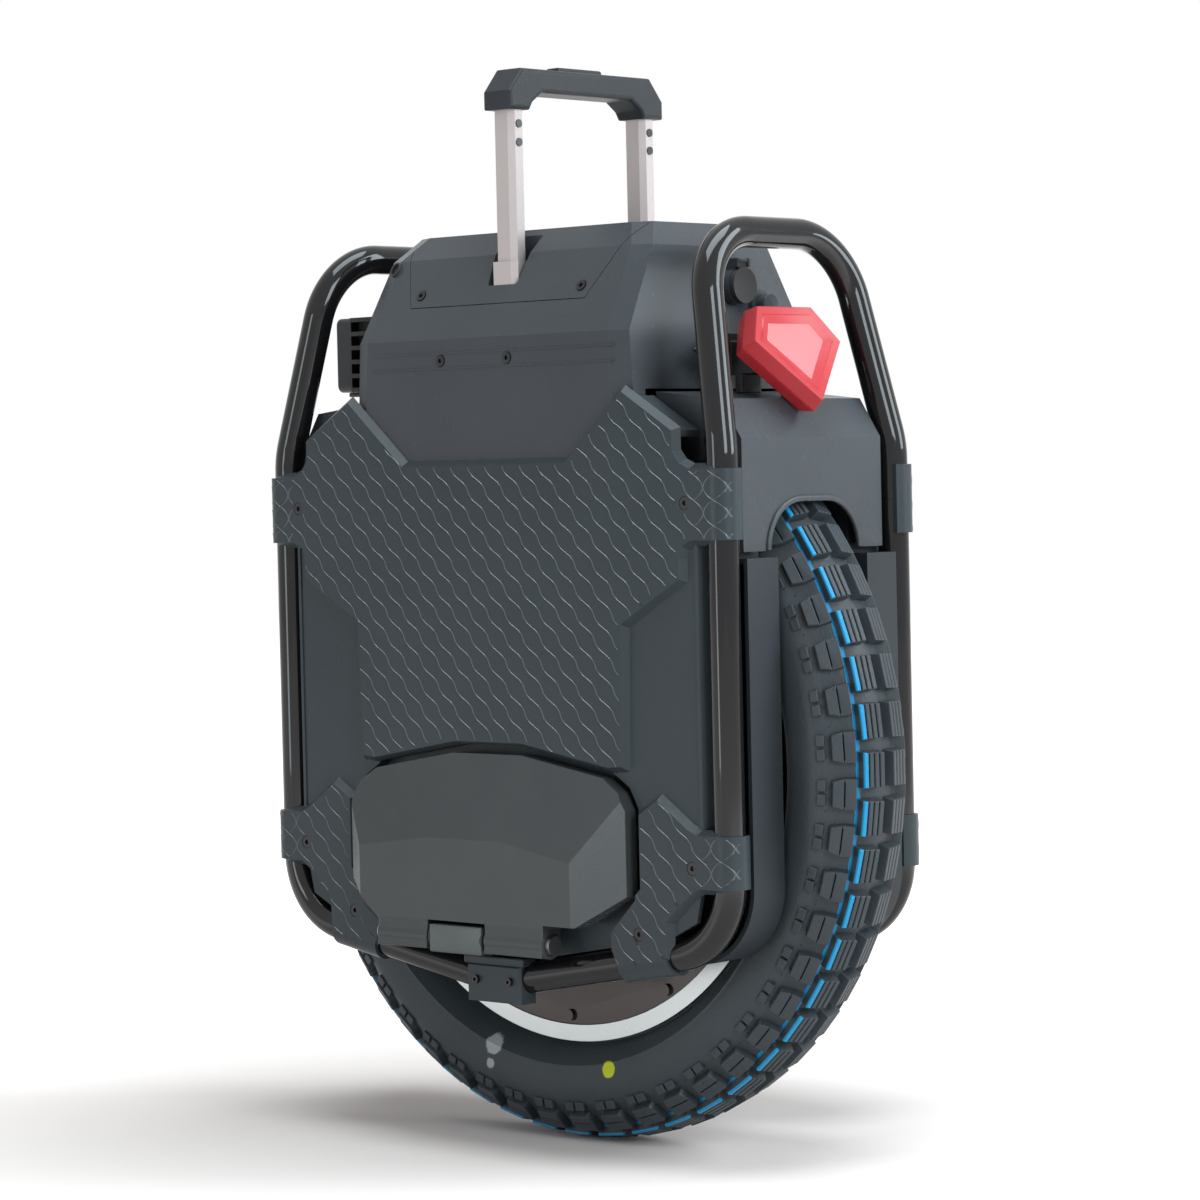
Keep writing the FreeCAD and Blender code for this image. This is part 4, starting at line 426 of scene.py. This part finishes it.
def softened(node, body, material, edge, sharp=14, turn=1, split=False):
    """A copy of a solid with its edges rounded over, as moulding, casting or paint leaves them.

    Faces that meet at less than turn degrees become one, and edges past sharp degrees are rounded.
    With split, every face is cut into triangles first, so that rounding can't close a hole in a
    flat face.
    """
    part = bpy.data.objects.new(node + "_skin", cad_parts[node].data.copy())
    bpy.context.scene.collection.objects.link(part)
    alone(part)
    bpy.ops.mesh.customdata_custom_splitnormals_clear()
    opened(part)
    bpy.ops.mesh.remove_doubles(threshold=weld)
    bpy.ops.mesh.dissolve_limited(angle_limit=math.radians(turn))
    bpy.ops.mesh.normals_make_consistent(inside=False)
    if split:
        bpy.ops.mesh.quads_convert_to_tris()
    bpy.ops.object.mode_set(mode="OBJECT")
    applied(part, "BEVEL", width=edge, segments=2, limit_method="ANGLE",
            angle_limit=math.radians(sharp), use_clamp_overlap=True, miter_outer="MITER_ARC")
    smoothed(part, sharp)
    applied(part, "WEIGHTED_NORMAL", keep_sharp=True)
    part.data.materials.clear()
    part.data.materials.append(material)
    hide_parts(node)
    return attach(part, body)


softened("wheel_rim", "wheel", rim_alloy, edge=0.0006)

# Motor covers: dished aluminium castings, lacquered dark brown-black, that close the motor.
# Twelve screws hold each one to the rim. The magnets and bearings behind them are plain steel.
motor_paint = finish("motor_paint", (0.026, 0.02, 0.018), (0.04, 0.032, 0.028), roughness=0.2,
                     spread=0.1, grain_scale=900.0, depth=0.03, Metallic=0.5,
                     Specular_IOR_Level=0.3, Coat_Weight=0.5, Coat_Roughness=0.1)
steel = finish("steel", (0.2, 0.2, 0.21), (0.34, 0.34, 0.35), roughness=0.35,
               spread=0.2, grain_scale=1200.0, depth=0.05, Metallic=1.0)
for side in ("left", "right"):
    softened(f"motor_cover_{side}", "wheel", motor_paint, edge=0.0006)
paint(motor_paint, "motor_cover_screws")
paint(steel, "magnet_ring", "bearing_left", "bearing_right")

# Axle and stator: they stand still inside the wheel and are hidden by the covers.
# The stator is stamped steel sheet with copper coils, on an aluminium spider.
alloy = finish("alloy", (0.48, 0.48, 0.49), (0.6, 0.6, 0.61), roughness=0.4,
               spread=0.2, grain_scale=900.0, depth=0.06, Metallic=1.0)
copper = finish("copper", (0.55, 0.22, 0.09), (0.7, 0.34, 0.16), roughness=0.3,
                spread=0.2, grain_scale=700.0, depth=0.2, Metallic=1.0)
paint(steel, "axle", "axle_nuts", "stator_core")
paint(alloy, "stator_spider")
paint(copper, "stator_windings")

# Pedal hangers: forged plates on the ends of the axle, powder coated black and held by bolts.
# A grey hinge block at the foot of each one surrounds the pin that its pedal folds on.
forging_paint = finish("forging_paint", (0.009, 0.01, 0.011), (0.016, 0.017, 0.019),
                       roughness=0.42, spread=0.15, grain_scale=1600.0, depth=0.2,
                       Specular_IOR_Level=0.3)
hinge_paint = finish("hinge_paint", (0.055, 0.068, 0.068), (0.08, 0.096, 0.094), roughness=0.38,
                     spread=0.15, grain_scale=1500.0, depth=0.12, Metallic=0.4)


def beside(sign, near, far):
    """Limits across the unicycle, on its left (1) or its right (-1)."""
    return sorted((sign * near, sign * far))


for side, sign in (("left", 1), ("right", -1)):
    softened(f"pedal_hanger_{side}", "chassis", forging_paint, edge=0.0008)
    hinge_block = block("hinge_block", ((-2.8, 43.8), beside(sign, 97, 110.5), (131.4, 149.6)))
    rounded(hinge_block, 0.0012, 3)
    smoothed(hinge_block, 30)
    hinge_block.data.materials.append(hinge_paint)
    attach(hinge_block, "chassis")
paint(steel, "hanger_bolts", "pedal_pins")

# Battery boxes: black moulded trays, one on each side of the wheel, behind the side panels.
# The packs in them are cells in blue shrink wrap, which shows only through narrow gaps.
shell_plastic = finish("shell_plastic", (0.016, 0.02, 0.024), (0.024, 0.029, 0.034),
                       roughness=0.45, spread=0.15, grain_scale=1100.0, depth=0.15,
                       Specular_IOR_Level=0.2)
battery_wrap = finish("battery_wrap", (0.012, 0.026, 0.06), (0.018, 0.036, 0.085), roughness=0.35,
                      spread=0.2, grain_scale=200.0, depth=0.3)
for side in ("left", "right"):
    softened(f"inner_shell_{side}", "chassis", shell_plastic, edge=0.0008)
paint(battery_wrap, "battery_packs_left", "battery_packs_right")

# Cage: bent steel tube, painted gloss black, in two hoops and two lower bars.
# The clamps of the side panels and the bar clips wrap round it and hold it.
cage_paint = finish("cage_paint", (0.005, 0.005, 0.006), (0.01, 0.01, 0.011), roughness=0.12,
                    spread=0.06, grain_scale=350.0, depth=0.03, Specular_IOR_Level=0.05,
                    Coat_Weight=0.6, Coat_Roughness=0.04)
for node in ("front_hoop", "rear_hoop", "lower_bar_left", "lower_bar_right"):
    softened(node, "chassis", cage_paint, edge=0.0004, sharp=40, turn=0.2)

# Side panels: charcoal plastic mouldings with a raised pad, clamps that wrap the tubes
# and a bay for the folded pedal. They are held by socket screws into the battery boxes.
# Wavy ridges cover the pad, thin wings stand beside the tubes, and clips hold the lower bars.
panel_plastic = finish("panel_plastic", (0.027, 0.036, 0.041), (0.038, 0.048, 0.054),
                       roughness=0.31, spread=0.2, grain_scale=1300.0, depth=0.15,
                       Specular_IOR_Level=0.18)
# A lighter plastic for the pad's ridges: a painted highlight along their crests.
ridge_highlight_plastic = finish("ridge_highlight_plastic", (0.05, 0.062, 0.068), (0.085, 0.1, 0.108),
                        roughness=0.26, spread=0.2, grain_scale=1300.0, depth=0.1)
screw_steel = finish("screw_steel", (0.02, 0.02, 0.022), (0.05, 0.05, 0.055), roughness=0.3,
                     spread=0.2, grain_scale=1500.0, depth=0.05, Metallic=0.8)
stroke_shape = ((0, 0), (0.08, 0.18), (0.27, 0.36), (0.5, 0.5), (0.73, 0.64), (0.92, 0.82), (1, 1))
pitch_x, pitch_z = 0.0155, 0.01585
columns, rows = 28, 24
ridge_half = 0.00055
pad_back, pad_face = 0.0963, 0.0968
clamp_from, clamp_back = 0.176, 0.0855
clamp_heights = ((0.183, 0.216), (0.398, 0.442))
crossed_from = 0.178


def stroke(turn):
    """One wavy ridge in front of the panel's upper corner, repeated over the whole panel."""
    start = Vector((0.2135 if turn > 0 else 0.198, 0.1, 0.494))
    ridge = traced("stroke", [start + Vector((-turn * x * pitch_x, 0, -z * pitch_z))
                              for x, z in stroke_shape])
    opened(ridge)
    bpy.ops.mesh.extrude_region_move(TRANSFORM_OT_translate={"value": (ridge_half, 0, 0)})
    bpy.ops.object.vertex_group_assign_new()
    bpy.ops.mesh.extrude_region_move(TRANSFORM_OT_translate={"value": (ridge_half, 0, 0)})
    bpy.ops.object.vertex_group_remove_from()
    bpy.ops.object.mode_set(mode="OBJECT")
    for count, step in ((columns, (-pitch_x, 0, 0)), (rows, (0, 0, -pitch_z))):
        applied(ridge, "ARRAY", count=count, use_relative_offset=False, use_constant_offset=True,
                constant_offset_displace=step)
    return ridge


def on_pad(spot):
    """Whether a point of the pattern landed on the pad or on a clamp."""
    on_clamp = abs(spot.x) > clamp_from and any(low < spot.z < high for low, high in clamp_heights)
    return pad_back < spot.y < pad_face or (on_clamp and clamp_back < spot.y < pad_face)


def pattern(panel):
    """The pad's ridges, laid on the panel and cut off where the pad ends; they cross on clamps."""
    laid = []
    for turn, height in ((1, 0.00042), (-1, 0.0003)):
        ridge = stroke(turn)
        applied(ridge, "SHRINKWRAP", target=panel, wrap_method="PROJECT", use_project_y=True,
                use_negative_direction=True, use_positive_direction=False)
        bpy.ops.object.mode_set(mode="EDIT")
        bpy.ops.mesh.select_mode(type="VERT")
        bpy.ops.mesh.select_all(action="DESELECT")
        bpy.ops.object.mode_set(mode="OBJECT")
        for vertex in ridge.data.vertices:
            beyond = turn < 0 and abs(vertex.co.x) < crossed_from
            vertex.select = not on_pad(vertex.co) or beyond
        bpy.ops.object.mode_set(mode="EDIT")
        bpy.ops.mesh.delete(type="VERT")
        bpy.ops.mesh.select_all(action="DESELECT")
        bpy.ops.object.vertex_group_select()
        bpy.ops.transform.translate(value=(0, height, 0))
        bpy.ops.mesh.select_all(action="SELECT")
        bpy.ops.mesh.normals_make_consistent(inside=False)
        pick(ridge, lambda face: face.normal.y < 0)
        bpy.ops.mesh.flip_normals()
        bpy.ops.object.mode_set(mode="OBJECT")
        laid.append(ridge)
    return joined("pattern", laid)


def strip(name, points, step, thickness):
    """A thin wall: a line drawn from point to point, pulled along a step and thickened."""
    made = traced(name, points)
    opened(made)
    bpy.ops.mesh.extrude_region_move(TRANSFORM_OT_translate={"value": step})
    bpy.ops.mesh.select_all(action="SELECT")
    bpy.ops.mesh.normals_make_consistent(inside=False)
    bpy.ops.object.mode_set(mode="OBJECT")
    applied(made, "SOLIDIFY", thickness=thickness, offset=0)
    return made


def mirrored(obj):
    """A copy of a mesh on the other side of the unicycle."""
    alone(obj)
    bpy.ops.object.duplicate()
    twin = bpy.context.object
    opened(twin)
    bpy.ops.transform.resize(value=(1, -1, 1), center_override=(0, 0, 0))
    bpy.ops.mesh.flip_normals()
    bpy.ops.object.mode_set(mode="OBJECT")
    return twin


panels = {side: softened(f"side_panel_{side}", "chassis", panel_plastic, edge=0.0006)
          for side in ("left", "right")}
ridges = pattern(panels["left"])
# The ridges take the lighter plastic, a painted highlight on each ridge.
ridges.data.materials.append(ridge_highlight_plastic)
wing_shape = ((177, 91.2), (179, 91.2), (188, 75), (186, 73.6))
wing_foot, wing_rise, wing_wall = 218, 0.178, 0.002
wings = []
for sign in (1, -1):
    wing = strip("wing", [Vector((sign * x, y, wing_foot)) / 1000 for x, y in wing_shape],
                 (0, 0, wing_rise), wing_wall)
    wing.data.materials.append(panel_plastic)
    wings.append(wing)
trim = joined("panel_trim_left", [ridges] + wings)
for piece in (trim, mirrored(trim)):
    smoothed(piece, 20)
    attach(piece, "chassis")
softened("bar_clips", "chassis", panel_plastic, edge=0.0008)
for sign in (1, -1):
    clip_foot = block("clip_foot", ((-26.6, 26.6), beside(sign, 84, 96.3), (124, 129.5)))
    rounded(clip_foot, 0.001, 2)
    clip_foot.data.materials.append(panel_plastic)
    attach(clip_foot, "chassis")
paint(screw_steel, "panel_screws")

# Pedals: hollow magnesium castings with a smooth powder coat and a ribbed rubber tread.
# Each one folds on a pin in its hanger; a rounded lower edge runs on both sides of the hinge.
# The left one is folded up, and the right one is out.
pedal_paint = finish("pedal_paint", (0.05, 0.055, 0.057), (0.066, 0.071, 0.073), roughness=0.25,
                     spread=0.12, grain_scale=1500.0, depth=0.1, Metallic=0.3,
                     Specular_IOR_Level=0.2)
tread_rubber = finish("tread_rubber", (0.02, 0.02, 0.02), (0.03, 0.03, 0.03), roughness=0.8,
                      spread=0.2, grain_scale=700.0, depth=0.8)
right_pin, folded_out = (0, -0.1015, 0.141), -80
edge_draught = 0.0016
for side, sign in (("left", 1), ("right", -1)):
    softened(f"pedal_{side}", f"{side}_pedal", pedal_paint, edge=0.0009, sharp=7)
    paint(tread_rubber, f"pedal_tread_{side}")
    for length in ((-56.8, -5.7), (46.7, 91.8)):
        edge = block("pedal_edge", (length, beside(sign, 100, 110.5), (133.2, 153)))
        pick(edge, on_top)
        bpy.ops.transform.translate(value=(0, -sign * edge_draught, 0))
        bpy.ops.object.mode_set(mode="OBJECT")
        rounded(edge, 0.0006, 2)
        if side == "right":
            turned_about(edge, folded_out, "X", right_pin)
        edge.data.materials.append(pedal_paint)
        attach(edge, f"{side}_pedal")

# Fenders: one-piece plastic hoods over the wheel at each end, with an arched mouth.
# A rounded lip, moulded with the hood, runs round the mouth.
casing_plastic = finish("casing_plastic", (0.045, 0.051, 0.058), (0.058, 0.065, 0.073),
                        roughness=0.28, spread=0.15, grain_scale=1500.0, depth=0.1,
                        Specular_IOR_Level=0.2)
corner_across, corner_up, corner_radius = 13, 390, 32
corner_turns = [math.radians(turn) for turn in range(0, 91, 10)]
mouth = [(corner_across + corner_radius * math.cos(turn),
          corner_up + corner_radius * math.sin(turn)) for turn in corner_turns]
mouth += [(-y, z) for y, z in reversed(mouth)]
mouth_face, lip_depth, lip_wall = 195.5, 0.0032, 0.004
for end, sign in (("front", 1), ("rear", -1)):
    softened(f"fender_{end}", "chassis", casing_plastic, edge=0.001)
    lip = strip("fender_lip", [Vector((sign * mouth_face, y, z)) / 1000 for y, z in mouth],
                (sign * lip_depth, 0, 0), lip_wall)
    rounded(lip, 0.0012, 3)
    smoothed(lip, 30)
    lip.data.materials.append(casing_plastic)
    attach(lip, "chassis")

# Casing, lid and what is under them: two satin plastic mouldings that meet at a fine seam,
# over a folded alloy deck with the controller board. Two fine ridges run along each side of
# the casing, and a soft rubber plug closes a hole near the front of each side.
for node, edge in (("top_casing", 0.0014), ("top_lid", 0.0009)):
    softened(node, "chassis", casing_plastic, edge=edge)
paint(screw_steel, "casing_screws")
plug_radius, plug_depth, plug_rim, plug_hollow = 0.0052, 0.004, 0.001, 0.002
for sign in (1, -1):
    for heights in ((510.6, 511.5), (520.5, 521.4)):
        ridge = block("casing_ridge", ((-113, 104), beside(sign, 90, 91.6), heights))
        rounded(ridge, 0.0003, 2)
        ridge.data.materials.append(casing_plastic)
        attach(ridge, "chassis")
    plug_ahead = Vector((0.2, sign * 0.86, 0.47)).normalized()
    bpy.ops.object.select_all(action="DESELECT")
    bpy.ops.mesh.primitive_cylinder_add(vertices=28, radius=plug_radius, depth=plug_depth,
                                        location=(0.1055, sign * 0.0642, 0.5786),
                                        rotation=plug_ahead.to_track_quat("Z", "Y").to_euler())
    plug = bpy.context.object
    plug.name = "casing_plug"
    bpy.ops.object.transform_apply()
    pick(plug, lambda face: face.normal.dot(plug_ahead) > 0.9)
    bpy.ops.mesh.inset(thickness=plug_rim)
    bpy.ops.mesh.extrude_region_move(TRANSFORM_OT_translate={"value": plug_ahead * -plug_hollow})
    bpy.ops.object.mode_set(mode="OBJECT")
    plug.data.materials.append(tube_rubber)
    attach(plug, "chassis")
board_resin = finish("board_resin", (0.01, 0.07, 0.03), (0.02, 0.1, 0.05), roughness=0.35,
                     spread=0.2, grain_scale=400.0, depth=0.2)
paint(alloy, "deck_plate", "heat_sink")
paint(board_resin, "control_board")

# Trolley handle: two champagne anodised tubes that slide in sleeves, riveted to a moulded
# grip with a sprung release button on top.
handle_alloy = finish("handle_alloy", (0.36, 0.322, 0.317), (0.42, 0.378, 0.372), roughness=0.6,
                      spread=0.12, grain_scale=900.0, depth=0.05, Metallic=0.8,
                      Specular_IOR_Level=0.2)
grip_plastic = finish("grip_plastic", (0.017, 0.019, 0.023), (0.027, 0.03, 0.036), roughness=0.42,
                      spread=0.15, grain_scale=1100.0, depth=0.22, Specular_IOR_Level=0.2)
for side in ("left", "right"):
    softened(f"handle_tube_{side}", "trolley", handle_alloy, edge=0.0005)
softened("handle_grip", "trolley", grip_plastic, edge=0.0008, split=True)
softened("release_button", "release", grip_plastic, edge=0.0004)
paint(handle_alloy, "handle_sleeve_left", "handle_sleeve_right")
paint(screw_steel, "grip_rivets")

# Tail lamp: a gem-shaped case and lens of clear red acrylic round a board of diodes,
# on a black bracket bolted to the casing. The lens is moulded with a groove, a raised rim
# and a sunk middle.
lamp_red = finish("lamp_red", (0.48, 0.022, 0.03), (0.56, 0.04, 0.05), roughness=0.34,
                  spread=0.1, grain_scale=300.0, depth=0.05, Specular_IOR_Level=0.3,
                  Transmission_Weight=0.15, IOR=1.49)
lens_ahead = Vector((-0.894, 0, 0.446))
lens_front_area = 0.0005
softened("tail_lamp_case", "chassis", lamp_red, edge=0.0006, split=True)
lens = softened("tail_lamp_lens", "chassis", lamp_red, edge=0.0006)
pick(lens, lambda face: face.normal.dot(lens_ahead) > 0.99 and face.area > lens_front_area)
for inward, outward in ((0.0045, -0.0009), (0.001, 0.0009), (0.008, -0.003)):
    bpy.ops.mesh.inset(thickness=inward)
    bpy.ops.transform.translate(value=lens_ahead * outward)
bpy.ops.object.mode_set(mode="OBJECT")
softened("tail_lamp_bracket", "chassis", forging_paint, edge=0.0008)
paint(board_resin, "tail_lamp_board")
paint(tube_rubber, "tail_lamp_lead")

# Headlight: a finned die casting with a flat clear lens, on a bent plate.
# The casting and the plate are powder coated black, like the pedal hangers.
lamp_glass = finish("lamp_glass", (0.9, 0.93, 0.95), (0.96, 0.97, 0.98), roughness=0.06,
                    spread=0.05, grain_scale=200.0, depth=0.02, Transmission_Weight=0.9, IOR=1.5)
for node in ("headlight_housing", "headlight_bracket"):
    softened(node, "chassis", forging_paint, edge=0.0007)
softened("headlight_lens", "chassis", lamp_glass, edge=0.0003)

# Charging port and power button: small plastic mouldings on the back of the casing.
# A soft rubber cap swings up on a hinge to open the port, and the button is sprung.
softened("charge_socket", "chassis", casing_plastic, edge=0.0004)
softened("charge_cap", "port_cap", tube_rubber, edge=0.0006)
softened("power_button", "power", casing_plastic, edge=0.0006)

# Studio: a pale floor that fades to white, big soft lamps and the camera of the photo.
# The floor's far part and the world are white only to rays that show them, and the world
# lights the unicycle no more than faintly.
bpy.ops.object.select_all(action="DESELECT")
bpy.ops.mesh.primitive_plane_add(size=14)
floor = bpy.context.object
floor.name = "studio_floor"
floor_paint = bpy.data.materials.new("floor_paint")
floor_paint.use_nodes = True
tree = floor_paint.node_tree
shader = tree.nodes["Principled BSDF"]
shader.inputs["Base Color"].default_value = (0.95, 0.86, 0.82, 1)
shader.inputs["Roughness"].default_value = 0.9
shader.inputs["Emission Color"].default_value = (1, 1, 1, 1)
place = tree.nodes.new("ShaderNodeTexCoord")
reach = node_of(tree, "ShaderNodeVectorMath", operation="LENGTH")
tree.links.new(place.outputs["Object"], reach.inputs[0])
fade_from, fade_to = 0.25, 1.3
far = maths(tree, "SUBTRACT", 1.0, step_of(tree, reach.outputs["Value"], fade_from, fade_to))


def seen(tree):
    """1 for rays that show the studio itself: to the camera, in a reflection or through glass."""
    rays = tree.nodes.new("ShaderNodeLightPath")
    bent = maths(tree, "MAXIMUM", rays.outputs["Is Glossy Ray"],
                 rays.outputs["Is Transmission Ray"])
    return maths(tree, "MAXIMUM", rays.outputs["Is Camera Ray"], bent)


tree.links.new(maths(tree, "MULTIPLY", far, seen(tree)), shader.inputs["Emission Strength"])
floor.data.materials.append(floor_paint)

sensor_width, focal_pixels, image_pixels = 36, 3898.818, 1200
camera_distance = 2.578244
aim = Vector((-0.012728, 0, 0.356699))
yaw, pitch, roll = (math.radians(angle) for angle in (42.628, -1.891, 1.303))
ahead = Vector((math.sin(yaw) * math.cos(pitch), -math.cos(yaw) * math.cos(pitch), math.sin(pitch)))
level = ahead.cross(Vector((0, 0, 1))).normalized()
plumb = ahead.cross(level)
right = level * math.cos(roll) + plumb * math.sin(roll)
down = plumb * math.cos(roll) - level * math.sin(roll)
bpy.ops.object.camera_add()
camera = bpy.context.object
camera.data.lens = sensor_width * focal_pixels / image_pixels
camera_turn = Matrix((right, -down, -ahead)).transposed()
camera.matrix_world = Matrix.Translation(aim - ahead * camera_distance) @ camera_turn.to_4x4()
bpy.context.scene.camera = camera


def lamp(name, offset, size, power):
    """A soft box that faces the unicycle; the offset is to the right, up and to the camera."""
    bpy.ops.object.light_add(type="AREA")
    light = bpy.context.object
    light.name = name
    light.data.shape = "RECTANGLE"
    light.data.size, light.data.size_y = size
    light.data.energy = power
    light.data.color = (0.85, 0.95, 1)
    light.location = aim + level * offset[0] + Vector((0, 0, offset[1])) - ahead * offset[2]
    light.rotation_euler = (aim - light.location).to_track_quat("-Z", "Y").to_euler()


lamp("front", offset=(1.3, 0.9, 2.2), size=(0.9, 1.2), power=34)
lamp("side", offset=(2.3, 1.1, 0.3), size=(1.0, 1.8), power=52)
lamp("overhead", offset=(0.2, 2.4, 0.3), size=(2.0, 1.2), power=58)
lamp("left", offset=(-1.7, 0.15, 1.15), size=(0.45, 0.9), power=8)
world = bpy.data.worlds.new("studio")
world.use_nodes = True
bpy.context.scene.world = world
tree = world.node_tree
sky = tree.nodes["Background"]
sky.inputs["Color"].default_value = (1, 1, 1, 1)
white = node_of(tree, "ShaderNodeMix", data_type="FLOAT")
white.inputs["A"].default_value = 0.2
white.inputs["B"].default_value = 1.0
tree.links.new(seen(tree), white.inputs["Factor"])
tree.links.new(white.outputs["Result"], sky.inputs["Strength"])
bpy.context.scene.view_settings.view_transform = "Standard"
